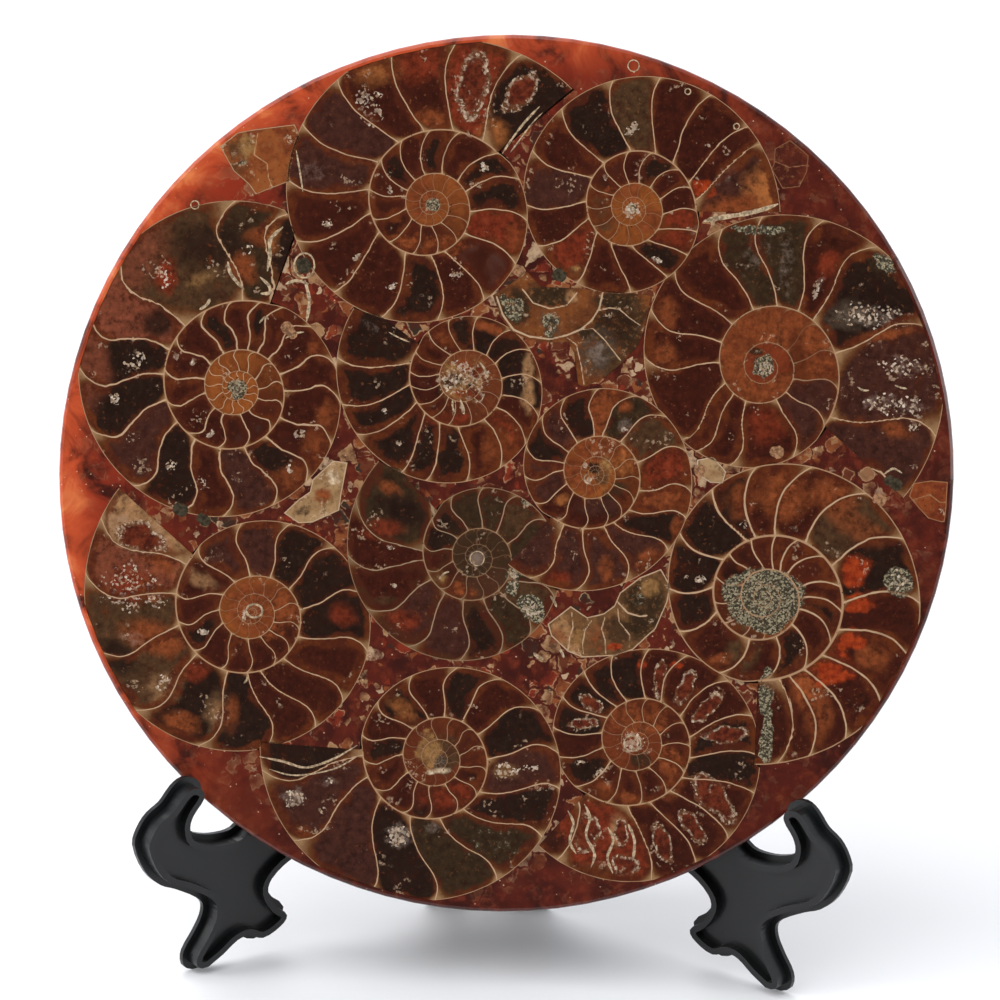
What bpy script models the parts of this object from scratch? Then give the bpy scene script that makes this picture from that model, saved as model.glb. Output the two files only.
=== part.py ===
"""Ammonite fossil plate on its folding stand.

A thin polished disc of red resin holds slices of eleven small ammonites, two broken
ammonite pieces and five chips of shell.  The disc leans back in a black plastic stand:
two cut-out panels that a pin joins at the back, each with a foot, a rest for the rim,
an upright behind the disc and a prong in front of it.

Metres, +Z up.  The disc faces -Y, and the stand's feet stand on Z = 0.
"""
import bmesh
import bpy
from math import ceil, cos, exp, floor, log, pi, radians, sin
from mathutils import Matrix, Vector
from mathutils.geometry import interpolate_bezier

MM = 0.001

# ---- driving dimensions of the disc, in millimetres ----
DISC_LONG = 88.0            # the hand-cut disc is a little out of round
DISC_SHORT = 86.3
DISC_TURN = 12.8            # degrees that the long diameter is turned, right end up
DISC_THICK = 2.8
DISC_EDGE = 0.35            # polished bevel of the rim
DISC_SIDES = 96
BEVEL_ANGLE = 40.0          # degrees: only edges sharper than this are bevelled
DISC_CENTRE_Y = 0.345       # middle of the front face, so that the whole stands centred
DISC_CENTRE_Z = 49.9
LEAN = 14.5                 # degrees that the disc leans back

SLICE_THICK = 1.5
SLICE_GAP = 0.3             # between a slice and the resin or the next slice
RIM_LEFT = 0.9              # resin left between a slice and the rim
OUTLINE_STEP = 9.0          # degrees between the points of a spiral outline
QUARTER = 90.0              # degrees between the radii that a spiral is given by

# ---- the ammonites: spirals that widen clockwise, seen from the front ----
# centre is across and up from the disc's middle.  Angles run clockwise from the right.
# radii are a quarter turn apart, from the angle `first`.  The shell ends at `end`, and
# its outline is the last whole turn before that.  Each is cut by those listed above it.
AMMONITES = {
    "ammonite_upper_left": dict(
        centre=(-8.4, 26.3), first=-90, radii=(7.3, 9.1, 11.2, 13.9, 15.9, 19.2), end=318),
    "ammonite_upper_right": dict(
        centre=(11.2, 26.7), first=-90, radii=(5.6, 6.3, 8.0, 10.3, 12.6, 14.3), end=358),
    "ammonite_centre_right": dict(
        centre=(8.6, 0.6), first=90, radii=(5.4, 6.7, 8.1, 9.3, 11.3, 13.0), end=490),
    "ammonite_centre_top": dict(
        centre=(-4.5, 9.2), first=-180, radii=(5.4, 6.1, 7.3, 9.7, 12.3, 13.1), end=214),
    "ammonite_lower_right": dict(
        centre=(25.8, -11.0), first=90, radii=(8.2, 9.2, 12.9, 15.1, 16.3), end=450),
    "ammonite_bottom_left": dict(
        centre=(-5.8, -28.1), first=180, radii=(7.3, 8.7, 11.9, 13.9, 17.2, 18.0), end=542),
    "ammonite_bottom_right": dict(
        centre=(13.9, -25.7), first=90, radii=(6.3, 8.1, 8.9, 11.8, 13.7, 14.0), end=490),
    "ammonite_left": dict(
        centre=(-26.8, 7.6), first=-90, radii=(8.6, 9.9, 12.3, 15.2, 18.1, 14.0), end=288),
    "ammonite_centre_left": dict(
        centre=(-2.7, -8.1), first=-180, radii=(5.2, 6.6, 8.0, 9.9, 12.4, 14.0), end=225),
    "ammonite_lower_left": dict(
        centre=(-24.5, -14.3), first=180, radii=(7.5, 8.7, 11.3, 13.5, 16.2, 19.5), end=580),
    "ammonite_right": dict(
        centre=(24.8, 11.7), first=0, radii=(7.3, 9.6, 11.5, 14.6, 17.4, 20.0), end=400),
}

# ---- broken pieces and chips: corner points across and up from the disc's middle ----
FRAGMENTS = {
    "ammonite_fragment_top": (
        (-1.7, 17.6), (-1.0, 15.8), (0.1, 14.4), (1.7, 13.8), (3.7, 13.6), (5.6, 13.7),
        (6.4, 12.5), (6.9, 9.5), (7.3, 9.4), (9.0, 10.3), (10.7, 11.8), (12.1, 13.5),
        (12.7, 15.4), (13.1, 18.0), (10.4, 18.2), (6.1, 18.4), (2.6, 18.4), (1.2, 19.7)),
    "ammonite_fragment_bottom": (
        (4.9, -14.5), (6.8, -12.9), (8.4, -13.9), (10.2, -13.4), (11.3, -12.5),
        (11.8, -11.2), (13.6, -9.7), (15.4, -8.9), (16.2, -10.2), (16.0, -11.7),
        (15.0, -14.3), (12.9, -16.4), (11.3, -17.0), (8.2, -17.3), (6.8, -16.8),
        (5.2, -15.4)),
    "shell_chip_amber": (
        (-28.5, 32.1), (-25.8, 32.7), (-22.2, 33.3), (-21.6, 32.0), (-22.5, 28.3),
        (-25.5, 27.0), (-26.1, 27.8), (-27.6, 29.0), (-29.1, 31.5)),
    "shell_chip_tan": (
        (-21.3, -4.4), (-20.2, -3.3), (-19.0, -2.4), (-18.8, -1.2), (-17.0, 0.6),
        (-16.0, 0.5), (-16.4, -2.0), (-16.6, -3.8), (-19.0, -5.0), (-20.2, -5.1)),
    "shell_chip_oval": (
        (25.2, 31.6), (25.2, 32.9), (26.5, 33.7), (28.0, 32.8), (27.9, 31.0),
        (27.3, 29.7), (26.0, 29.5), (25.0, 31.1)),
    "shell_chip_cream": (
        (18.9, 2.1), (20.1, 2.4), (21.2, 1.2), (21.0, 0.4), (20.1, 0.4), (18.9, 1.1)),
    "shell_chip_rim": (
        (39.9, -0.4), (40.2, 0.6), (41.7, 0.9), (43.5, 0.8), (43.8, -2.5), (42.9, -2.6),
        (41.7, -2.3), (40.8, -1.4)),
}

# ---- driving dimensions of the stand, in millimetres ----
HINGE_Y = DISC_CENTRE_Y + 11.7      # the pin's axis stands upright behind the disc
PANEL_SPLAY = 52.0                  # degrees between each panel and straight ahead
PANEL_THICK = 2.1
LIP_THICK = 0.5                     # the lip round each panel's rear face
LIP_PROUD = 0.65
WEB_DEPTH = 0.9                     # the web is set back behind a narrow border
BORDER = 0.65
SEAT_GAP = 0.3                      # between the disc and the stand
PANEL_STEPS = 3                     # straight pieces in a rounded stretch of outline
CLEAN_SHARE = 0.97                  # a moved outline drops points that fold back nearer
OVERSHOOT = 2.0                     # how far a cutter stands out past what it cuts
FLAT_ANGLE = 0.05                   # degrees: flatter edges are merged into one face

KNUCKLE_R = 2.1
PIN_R = 0.8
BORE_R = 1.1
HINGE_FOOT = 4.0
HINGE_TOP = 34.0
KNUCKLES = 5                        # three on the right panel, two on the left
KNUCKLE_SIDES = 24
ARM_REACH = 4.1                     # each knuckle's arm runs into the panel's edge
ARM_INSET = 0.25
ARM_DEEP = 1.9
ARM_SHALLOW = 0.4

# One panel's outline: distance from the hinge, height, and whether it is a sharp corner.
# It runs from the toe up the outside, over the prong, down into the seat, up the upright
# behind the disc, down the back by the hinge to the heel, and under the arch to the
# scroll behind the toe.  The clearance round the disc trims the seat and the upright.
PANEL_OUTLINE = (
    (35.9, 0.65, True), (36.5, 1.0, False), (36.5, 2.0, False), (35.4, 3.6, False),
    (34.4, 5.4, False),
    (34.3, 7.0, False), (35.3, 8.2, False), (38.0, 9.8, False), (39.7, 10.6, False),
    (41.3, 12.2, False), (42.5, 15.0, False), (42.1, 16.3, False), (41.2, 17.4, False),
    (39.7, 18.3, False), (38.4, 19.7, False), (37.4, 20.2, False), (36.3, 19.8, False),
    (36.1, 18.9, False), (37.3, 17.4, False), (37.7, 16.2, False), (37.2, 14.7, False),
    (35.5, 13.8, False), (33.4, 13.4, False), (31.3, 13.6, False), (29.2, 15.2, True),
    (17.3, 43.6, True), (15.6, 45.6, False), (13.6, 45.0, False), (12.6, 42.4, False),
    (11.8, 37.6, False), (8.8, 34.4, False), (3.0, 33.4, True), (3.0, 0.65, True),
    (5.9, 0.65, True), (6.5, 4.6, False), (9.4, 10.0, False), (14.6, 12.6, False),
    (20.4, 11.7, False), (25.6, 9.9, False), (27.7, 8.4, False), (28.1, 7.1, False),
    (27.0, 5.2, False), (25.7, 4.0, False), (26.4, 3.0, False), (28.6, 2.2, False),
    (30.3, 2.9, False), (31.7, 2.7, False), (33.4, 1.6, False), (35.2, 0.65, True),
)


def new_collection(name, parent=None):
    collection = bpy.data.collections.new(name)
    (parent or bpy.context.scene.collection).children.link(collection)
    return collection


def new_material(name, colour, roughness, metallic=0.0):
    material = bpy.data.materials.new(name)
    material.use_nodes = True
    shader = material.node_tree.nodes["Principled BSDF"]
    shader.inputs["Base Color"].default_value = (*colour, 1.0)
    shader.inputs["Roughness"].default_value = roughness
    shader.inputs["Metallic"].default_value = metallic
    return material


def add_object(name, mesh, collection, frame, material=None):
    thing = bpy.data.objects.new(name, mesh)
    collection.objects.link(thing)
    thing.parent = frame
    if material:
        mesh.materials.append(material)
    else:
        thing.hide_render = True
        thing.display_type = "WIRE"
    return thing


def flat_mesh(name, points, low, high):
    """A flat outline, given in millimetres, as a closed solid from depth low to high."""
    curve = bpy.data.curves.new(name, "CURVE")
    curve.dimensions = "2D"
    curve.fill_mode = "BOTH"
    curve.extrude = (high - low) / 2 * MM
    spline = curve.splines.new("POLY")
    spline.points.add(len(points) - 1)
    for place, (x, y) in zip(spline.points, points):
        place.co = (x * MM, y * MM, 0.0, 1.0)
    spline.use_cyclic_u = True
    guide = bpy.data.objects.new(name + "_curve", curve)
    bpy.context.scene.collection.objects.link(guide)
    evaluated = guide.evaluated_get(bpy.context.evaluated_depsgraph_get())
    mesh = bpy.data.meshes.new_from_object(evaluated)
    bpy.data.objects.remove(guide)
    mesh.name = name
    solid = bmesh.new()
    solid.from_mesh(mesh)
    bmesh.ops.remove_doubles(solid, verts=solid.verts, dist=0.00001)
    bmesh.ops.dissolve_limit(solid, angle_limit=radians(FLAT_ANGLE), verts=solid.verts, edges=solid.edges)
    bmesh.ops.translate(solid, verts=solid.verts, vec=(0, 0, (high + low) / 2 * MM))
    bmesh.ops.recalc_face_normals(solid, faces=solid.faces)
    solid.to_mesh(mesh)
    solid.free()
    return mesh


def cut(thing, tool, operation="DIFFERENCE"):
    """Cut, or join, a thing with one tool or with a whole collection of them."""
    modifier = thing.modifiers.new(tool.name, "BOOLEAN")
    modifier.operation = operation
    modifier.solver = "EXACT"
    if isinstance(tool, bpy.types.Collection):
        modifier.operand_type = "COLLECTION"
        modifier.collection = tool
    else:
        modifier.object = tool


# ---- outlines ----

def distance_to(outline, point):
    """Shortest distance from a point to the outline's edges."""
    shortest = float("inf")
    for start, finish in zip(outline, outline[1:] + outline[:1]):
        along = finish - start
        part = min(max((point - start).dot(along) / max(along.length_squared, 1e-12), 0), 1)
        shortest = min(shortest, (start + along * part - point).length)
    return shortest


def grown(points, margin):
    """The outline moved outwards by margin, or inwards if margin is negative."""
    area = sum(a[0] * b[1] - b[0] * a[1] for a, b in zip(points, points[1:] + points[:1]))
    side = 1 if area > 0 else -1
    outline = [Vector(point) for point in points]
    moved = []
    for index, here in enumerate(outline):
        before = (here - outline[index - 1]).normalized()
        after = (outline[(index + 1) % len(outline)] - here).normalized()
        out_before = Vector((before.y, -before.x)) * side
        out_after = Vector((after.y, -after.x)) * side
        middle = (out_before + out_after).normalized()
        place = here + middle * (margin / max(middle.dot(out_after), 0.5))
        if distance_to(outline, place) > CLEAN_SHARE * abs(margin):
            moved.append(tuple(place))
    return moved


def ellipse(inset):
    """The disc's outline, moved inwards by inset."""
    turn = radians(DISC_TURN)
    points = []
    for step in range(DISC_SIDES):
        angle = 2 * pi * step / DISC_SIDES
        across = (DISC_LONG / 2 - inset) * cos(angle)
        up = (DISC_SHORT / 2 - inset) * sin(angle)
        points.append((across * cos(turn) - up * sin(turn), across * sin(turn) + up * cos(turn)))
    return points


def spiral_radius(shell, angle):
    """Radius of the shell's outer wall, read smoothly through its quarter-turn radii."""
    radii = shell["radii"]
    place = (angle - shell["first"]) / QUARTER
    index = min(max(floor(place), 0), len(radii) - 2)
    part = place - index
    r1 = log(radii[index])
    r2 = log(radii[index + 1])
    r0 = log(radii[index - 1]) if index > 0 else 2 * r1 - r2
    r3 = log(radii[index + 2]) if index + 2 < len(radii) else 2 * r2 - r1
    slope1 = (r2 - r0) / 2
    slope2 = (r3 - r1) / 2
    cubed = part ** 3
    squared = part ** 2
    smooth = ((2 * cubed - 3 * squared + 1) * r1 + (cubed - 2 * squared + part) * slope1
              + (3 * squared - 2 * cubed) * r2 + (cubed - squared) * slope2)
    return exp(smooth)


def spiral_outline(shell):
    """The last whole turn of the shell, closed by its straight mouth."""
    steps = ceil(360 / OUTLINE_STEP)
    points = []
    for step in range(steps + 1):
        angle = shell["end"] - 360 + 360 * step / steps
        radius = spiral_radius(shell, angle)
        across = shell["centre"][0] + radius * cos(radians(angle))
        up = shell["centre"][1] - radius * sin(radians(angle))
        points.append((across, up))
    return points


def rounded_outline(marks, steps):
    """A closed outline through the marks: smooth, except at the marks that are corners."""
    count = len(marks)
    knots = [Vector(mark[:2]) for mark in marks]
    points = []
    for index in range(count):
        here = knots[index]
        there = knots[(index + 1) % count]
        reach = (there - here).length / 3
        if marks[index][2]:
            leave = (there - here).normalized()
        else:
            leave = (there - knots[index - 1]).normalized()
        if marks[(index + 1) % count][2]:
            arrive = (there - here).normalized()
        else:
            arrive = (knots[(index + 2) % count] - here).normalized()
        straight = marks[index][2] and marks[(index + 1) % count][2]
        pieces = 1 if straight else steps
        run = interpolate_bezier(here, here + leave * reach, there - arrive * reach, there, pieces + 1)
        points.extend((point.x, point.y) for point in run[:-1])
    return points


# ---- the disc and what is set in it ----

def disc_frame(collection):
    """An empty in the middle of the disc's front face: X across, Y up the face, Z out."""
    frame = bpy.data.objects.new("disc_frame", None)
    collection.objects.link(frame)
    frame.location = (0, DISC_CENTRE_Y * MM, DISC_CENTRE_Z * MM)
    frame.rotation_euler = (radians(90 - LEAN), 0, 0)
    return frame


def slices(parts, cutters, pocket_tools, frame):
    """Every slice, and a cutter of the same shape for the pocket that holds it."""
    rim_fence = add_object(
        "rim_fence", flat_mesh("rim_fence", ellipse(RIM_LEFT), -DISC_THICK, OVERSHOOT),
        cutters, frame)
    pocket_fence = add_object(
        "pocket_fence",
        flat_mesh("pocket_fence", ellipse(RIM_LEFT - SLICE_GAP), -DISC_THICK, OVERSHOOT),
        cutters, frame)
    shell_material = new_material("ammonite_calcite", (0.20, 0.05, 0.02), 0.15)
    chip_material = new_material("shell_chip", (0.45, 0.20, 0.07), 0.2)
    outlines = {name: spiral_outline(shell) for name, shell in AMMONITES.items()}
    outlines.update({name: list(points) for name, points in FRAGMENTS.items()})
    pockets = []
    for name, outline in outlines.items():
        material = chip_material if name.startswith("shell_chip") else shell_material
        piece = add_object(name, flat_mesh(name, outline, -SLICE_THICK, 0), parts, frame, material)
        cut(piece, rim_fence, "INTERSECT")
        for pocket in pockets:
            cut(piece, pocket)
        pocket_mesh = flat_mesh(name + "_pocket", grown(outline, SLICE_GAP),
                                -SLICE_THICK - SLICE_GAP, OVERSHOOT / 2)
        pocket = add_object(name + "_pocket", pocket_mesh, pocket_tools, frame)
        cut(pocket, pocket_fence, "INTERSECT")
        pockets.append(pocket)


def resin_matrix(parts, frame, pocket_tools):
    """The cast disc: a low cylinder with bevelled rims and a pocket for each slice."""
    material = new_material("red_resin", (0.24, 0.03, 0.015), 0.1)
    mesh = flat_mesh("resin_matrix", ellipse(0), -DISC_THICK, 0)
    disc = add_object("resin_matrix", mesh, parts, frame, material)
    bevel = disc.modifiers.new("polished_rim", "BEVEL")
    bevel.width = DISC_EDGE * MM
    bevel.segments = 2
    bevel.limit_method = "ANGLE"
    bevel.angle_limit = radians(BEVEL_ANGLE)
    cut(disc, pocket_tools)


# ---- the stand ----

def panel_frame(collection, name, side):
    """An empty on the hinge: X along the panel, Y up, Z out of its inner face."""
    frame = bpy.data.objects.new(name, None)
    collection.objects.link(frame)
    frame.location = (0, HINGE_Y * MM, 0)
    frame.rotation_euler = (radians(90), 0, radians(-side * (90 - PANEL_SPLAY)))
    return frame


def mirrored(points, side):
    return [(side * x, y) for x, y in points]


def knuckle_heights(index):
    pitch = (HINGE_TOP - HINGE_FOOT) / KNUCKLES
    low = HINGE_FOOT + pitch * index
    return low + SEAT_GAP / 2, low + pitch - SEAT_GAP / 2


def upright_cylinder(name, radius, low, high, collection, frame):
    """A round bar on the hinge's axis, from height low to high."""
    bar = bmesh.new()
    bmesh.ops.create_cone(bar, cap_ends=True, segments=KNUCKLE_SIDES, radius1=radius * MM,
                          radius2=radius * MM, depth=(high - low) * MM)
    upright = Matrix.Translation((0, (low + high) / 2 * MM, 0)) @ Matrix.Rotation(pi / 2, 4, "X")
    bmesh.ops.transform(bar, matrix=upright, verts=bar.verts)
    bmesh.ops.recalc_face_normals(bar, faces=bar.faces)
    mesh = bpy.data.meshes.new(name)
    bar.to_mesh(mesh)
    bar.free()
    return add_object(name, mesh, collection, frame)


def stand_half(name, side, parts, cutters, disc_clearance, material):
    frame = panel_frame(parts, name + "_frame", side)
    added = new_collection(name + "_added", cutters)
    removed = new_collection(name + "_removed", cutters)
    outline = rounded_outline(PANEL_OUTLINE, PANEL_STEPS)
    wall = mirrored(outline, side)
    lip = mirrored(grown(outline, LIP_PROUD), side)
    web = mirrored(grown(outline, -BORDER), side)
    lip_low = -PANEL_THICK
    half = add_object(
        name, flat_mesh(name, wall, lip_low + LIP_THICK / 2, 0), parts, frame, material)
    add_object(name + "_lip", flat_mesh(name + "_lip", lip, lip_low, lip_low + LIP_THICK),
               added, frame)
    add_object(name + "_web", flat_mesh(name + "_web", web, -WEB_DEPTH, OVERSHOOT), removed, frame)
    for index in range(KNUCKLES):
        own = (index % 2 == 0) == (side > 0)
        if not own:
            continue
        low, high = knuckle_heights(index)
        label = name + "_knuckle_" + str(index + 1)
        arm = [(0, low + ARM_INSET), (side * ARM_REACH, low + ARM_INSET),
               (side * ARM_REACH, high - ARM_INSET), (0, high - ARM_INSET)]
        add_object(label + "_arm", flat_mesh(label + "_arm", arm, -ARM_DEEP, -ARM_SHALLOW),
                   added, frame)
        upright_cylinder(label, KNUCKLE_R, low, high, added, frame)
    if side > 0:
        upright_cylinder(name + "_bore", BORE_R, 0, HINGE_TOP + OVERSHOOT, removed, frame)
    else:
        upright_cylinder(name + "_pin", PIN_R, HINGE_FOOT, HINGE_TOP, added, frame)
    cut(half, added, "UNION")
    cut(half, removed)
    cut(half, disc_clearance)


def build():
    for thing in list(bpy.data.objects):
        bpy.data.objects.remove(thing)
    parts = new_collection("ammonite_fossil_plate")
    cutters = new_collection("cutters")
    frame = disc_frame(parts)
    pocket_tools = new_collection("pocket_cutters", cutters)
    slices(parts, cutters, pocket_tools, frame)
    resin_matrix(parts, frame, pocket_tools)
    clearance = add_object(
        "disc_clearance",
        flat_mesh("disc_clearance", ellipse(-SEAT_GAP), -DISC_THICK - SEAT_GAP, SEAT_GAP),
        cutters, frame)
    black = new_material("black_plastic", (0.012, 0.012, 0.014), 0.35)
    stand_half("stand_right", 1, parts, cutters, clearance, black)
    stand_half("stand_left", -1, parts, cutters, clearance, black)


build()
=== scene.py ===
"""Ammonite fossil plate on its folding stand: the finish of every piece.

A hand-polished disc of red resin is set with slices of ammonites, whose chambers are
filled with calcite.  It leans in a black plastic stand.  The pieces are made in the order
in which the plate is put together, each in its own section.  Lengths are in millimetres
in the plate's own frame (across, up its face, out of its face) unless a name says else.
"""
import bmesh
import bpy
from bisect import bisect_right
from math import atan2, cos, degrees, exp, floor, hypot, log, pi, radians, sin
from mathutils import Euler, Matrix, Vector, noise


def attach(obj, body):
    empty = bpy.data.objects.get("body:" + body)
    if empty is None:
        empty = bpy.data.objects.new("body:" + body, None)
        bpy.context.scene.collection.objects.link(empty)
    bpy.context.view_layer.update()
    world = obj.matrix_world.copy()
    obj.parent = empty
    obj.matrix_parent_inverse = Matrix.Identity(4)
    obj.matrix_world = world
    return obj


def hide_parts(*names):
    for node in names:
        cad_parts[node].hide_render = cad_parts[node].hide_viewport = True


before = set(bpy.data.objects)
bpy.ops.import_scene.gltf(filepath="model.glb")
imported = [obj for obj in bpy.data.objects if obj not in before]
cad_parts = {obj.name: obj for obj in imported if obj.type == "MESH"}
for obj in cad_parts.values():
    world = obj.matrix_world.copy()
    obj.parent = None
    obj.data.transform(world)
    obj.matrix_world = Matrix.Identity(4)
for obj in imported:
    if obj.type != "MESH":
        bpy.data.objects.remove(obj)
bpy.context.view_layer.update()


# ---- The table and the studio ------------------------------------------------------------
# A pale table top, lit by soft boxes above, beside and behind, so that the polished face
# mirrors only the dim side of the room.  The camera looks down a little on the plate.

def new_piece(name, shape, finish):
    """An object with the mesh that a bmesh holds, in one finish."""
    mesh = bpy.data.meshes.new(name)
    shape.to_mesh(mesh)
    shape.free()
    mesh.materials.append(finish)
    piece = bpy.data.objects.new(name, mesh)
    bpy.context.scene.collection.objects.link(piece)
    return piece


def area_light(name, place, aim, size, power):
    light = bpy.data.lights.new(name, "AREA")
    light.shape = "DISK"
    light.size = size
    light.energy = power
    lamp = bpy.data.objects.new(name, light)
    bpy.context.scene.collection.objects.link(lamp)
    lamp.location = place
    lamp.rotation_euler = (Vector(aim) - Vector(place)).to_track_quat("-Z", "Y").to_euler()


table = bmesh.new()
bmesh.ops.create_grid(table, x_segments=1, y_segments=1, size=3.0)
bmesh.ops.translate(table, verts=table.verts, vec=(0, 0, -0.0002))
table_finish = bpy.data.materials.new("table_white")
table_finish.use_nodes = True
table_shader = table_finish.node_tree.nodes["Principled BSDF"]
table_shader.inputs["Base Color"].default_value = (0.80, 0.80, 0.81, 1)
table_shader.inputs["Roughness"].default_value = 0.55
table_top = new_piece("table_top", table, table_finish)

area_light("soft_box_above", (-0.45, -0.5, 0.95), (0, 0, 0.03), 1.3, 6.6)
area_light("soft_box_behind", (-0.2, 0.55, 0.8), (0, 0.05, 0.02), 0.7, 3.0)
area_light("soft_box_left", (-0.8, -0.15, 0.35), (0, 0, 0.05), 0.45, 4.2)
area_light("soft_box_right", (0.75, -0.35, 0.3), (0, 0, 0.02), 0.5, 1.8)
MIRRORED = Vector((0, -0.983, 0.182))           # the way the polished face mirrors
DIM, FULL = 0.03, 0.88                          # the room's strength there and elsewhere
room = bpy.data.worlds.new("room")
room.use_nodes = True
room_nodes = room.node_tree.nodes
facing = room_nodes.new("ShaderNodeVectorMath")
facing.operation = "DOT_PRODUCT"
facing.inputs[1].default_value = MIRRORED
outward = room_nodes.new("ShaderNodeTexCoord")
room.node_tree.links.new(outward.outputs["Generated"], facing.inputs[0])
dimming = room_nodes.new("ShaderNodeMapRange")
dimming.interpolation_type = "SMOOTHSTEP"
for label, value in (("From Min", 0.80), ("From Max", 0.95), ("To Min", FULL), ("To Max", DIM)):
    dimming.inputs[label].default_value = value
room.node_tree.links.new(facing.outputs["Value"], dimming.inputs["Value"])
room_nodes["Background"].inputs["Color"].default_value = (0.92, 0.95, 1.0, 1)
room.node_tree.links.new(dimming.outputs[0], room_nodes["Background"].inputs["Strength"])
bpy.context.scene.world = room

CAMERA_HEIGHT = radians(18.5)                   # above the horizon, seen from the plate
CAMERA_SIDE = radians(-0.695)
CAMERA_ROLL = radians(2.3988)
CAMERA_AWAY = 0.450
CAMERA_AIM = Vector((-0.0005757, 0.000345, 0.0474222))
back = Vector((sin(CAMERA_SIDE) * cos(CAMERA_HEIGHT), -cos(CAMERA_SIDE) * cos(CAMERA_HEIGHT),
               sin(CAMERA_HEIGHT)))
right = (-back).cross(Vector((0, 0, 1))).normalized()
up = right.cross(-back)
rolled_right = right * cos(CAMERA_ROLL) + up * sin(CAMERA_ROLL)
rolled_up = up * cos(CAMERA_ROLL) - right * sin(CAMERA_ROLL)
lens = bpy.data.cameras.new("camera")
lens.lens = 164.7
lens.sensor_width = 36.0
lens.sensor_fit = "HORIZONTAL"
lens.clip_start = 0.01
camera = bpy.data.objects.new("camera", lens)
bpy.context.scene.collection.objects.link(camera)
camera.matrix_world = Matrix.Translation(CAMERA_AIM + back * CAMERA_AWAY) @ Matrix(
    (rolled_right, rolled_up, back)).transposed().to_4x4()
bpy.context.scene.camera = camera
bpy.context.scene.view_settings.view_transform = "Standard"


# ---- The resin disc ----------------------------------------------------------------------
# Red polyester resin, cast round the slices, ground flat and polished with a small bevel.
# It is clouded and holds crumbs of shell and small bubbles; where it is clear, the light shining through
# it is painted in as a glow.

MM = 0.001
FACE_CENTRE = Vector((0, 0.345, 49.9)) * MM     # middle of the plate's front face
LEAN = radians(14.5)                            # the plate leans back


class Wire:
    """An output of a node.  Arithmetic with it adds the nodes that work it out."""

    def __init__(self, socket):
        self.socket = socket

    def __getitem__(self, name):
        """Another output of the same node."""
        return Wire(self.socket.node.outputs[name])

    def add(self, kind, inputs=(), out=0, **settings):
        """A new node in the same tree, fed with wires and plain values."""
        tree = self.socket.id_data
        made = tree.nodes.new(kind)
        for name, value in settings.items():
            setattr(made, name, value)
        for key, value in (inputs.items() if isinstance(inputs, dict) else enumerate(inputs)):
            if isinstance(value, Wire):
                tree.links.new(value.socket, made.inputs[key])
            else:
                made.inputs[key].default_value = value
        return Wire(made.outputs[out])

    def math(self, operation, *others, clamp=False):
        return self.add("ShaderNodeMath", (self, *others), operation=operation, use_clamp=clamp)

    def __add__(self, other):
        return self.math("ADD", other)

    def __sub__(self, other):
        return self.math("SUBTRACT", other)

    def __rsub__(self, other):
        return self.add("ShaderNodeMath", (other, self), operation="SUBTRACT")

    def __mul__(self, other):
        return self.math("MULTIPLY", other)

    def __truediv__(self, other):
        return self.math("DIVIDE", other)

    def __rtruediv__(self, other):
        return self.add("ShaderNodeMath", (other, self), operation="DIVIDE")

    def __lt__(self, other):
        return self.math("LESS_THAN", other)

    def split(self):
        """The three parts of a colour."""
        return self.add("ShaderNodeSeparateColor", (self,))

    def vector(self, operation, other):
        return self.add("ShaderNodeVectorMath", (self, other), operation=operation)

    def noise(self, size, detail=2.0, rough=0.5, out=0, warp=0.0):
        """Soft noise at this place, with lumps of about so many millimetres."""
        return self.add("ShaderNodeTexNoise", {
            "Vector": self, "Scale": 1 / MM / size, "Detail": detail, "Roughness": rough,
            "Distortion": warp}, out=out)

    def cells(self, size, feature="F1"):
        """Cells like crushed stone: the distance to each one's middle, or to its edge."""
        return self.add("ShaderNodeTexVoronoi", {"Vector": self, "Scale": 1 / MM / size},
                        feature=feature)

    def bent(self, size, detail, far):
        """This place pushed about a little, so that cells lose their straight edges."""
        return self.vector("ADD", self.noise(size, detail, out=1).vector("MULTIPLY", (far,) * 3))


def step(value, low, high):
    """0 below low and 1 above high, smooth between."""
    return value.add("ShaderNodeMapRange", (value, low, high, 0.0, 1.0),
                     interpolation_type="SMOOTHSTEP")


def mix(share, one, other):
    """Two colours, or two numbers, mixed by a share."""
    ends = [(*end, 1) if isinstance(end, tuple) else end for end in (one, other)]
    if any(isinstance(end, tuple) or isinstance(end, Wire) and end.socket.type == "RGBA"
           for end in ends):
        return share.add("ShaderNodeMix", {0: share, 6: ends[0], 7: ends[1]}, out=2,
                         data_type="RGBA")
    return share.add("ShaderNodeMix", {0: share, 2: one, 3: other}, data_type="FLOAT")


def hypotenuse(one, other):
    return (one * one + other * other).math("SQRT")


def new_group(name, **inputs):
    """An empty node group, and a wire from its inputs: numbers, or sockets of a named kind."""
    tree = bpy.data.node_groups.new(name, "ShaderNodeTree")
    for label, value in inputs.items():
        kind = value if isinstance(value, str) else "Float"
        socket = tree.interface.new_socket(label, in_out="INPUT", socket_type="NodeSocket" + kind)
        if kind == "Float":
            socket.default_value = value
    return tree, Wire(tree.nodes.new("NodeGroupInput").outputs[0])


def put_out(tree, **wires):
    """Give a node group its outputs."""
    end = tree.nodes.new("NodeGroupOutput")
    for label, wire in wires.items():
        kind = "Color" if wire.socket.type == "RGBA" else "Float"
        tree.interface.new_socket(label, in_out="OUTPUT", socket_type="NodeSocket" + kind)
        tree.links.new(wire.socket, end.inputs[label])
    return tree


def new_finish(name, **values):
    """A material, and a wire with the place on the piece."""
    material = bpy.data.materials.new(name)
    material.use_nodes = True
    nodes = material.node_tree.nodes
    for label, value in values.items():
        nodes["Principled BSDF"].inputs[label.replace("_", " ")].default_value = value
    return material, Wire(nodes.new("ShaderNodeTexCoord").outputs["Object"])


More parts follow.
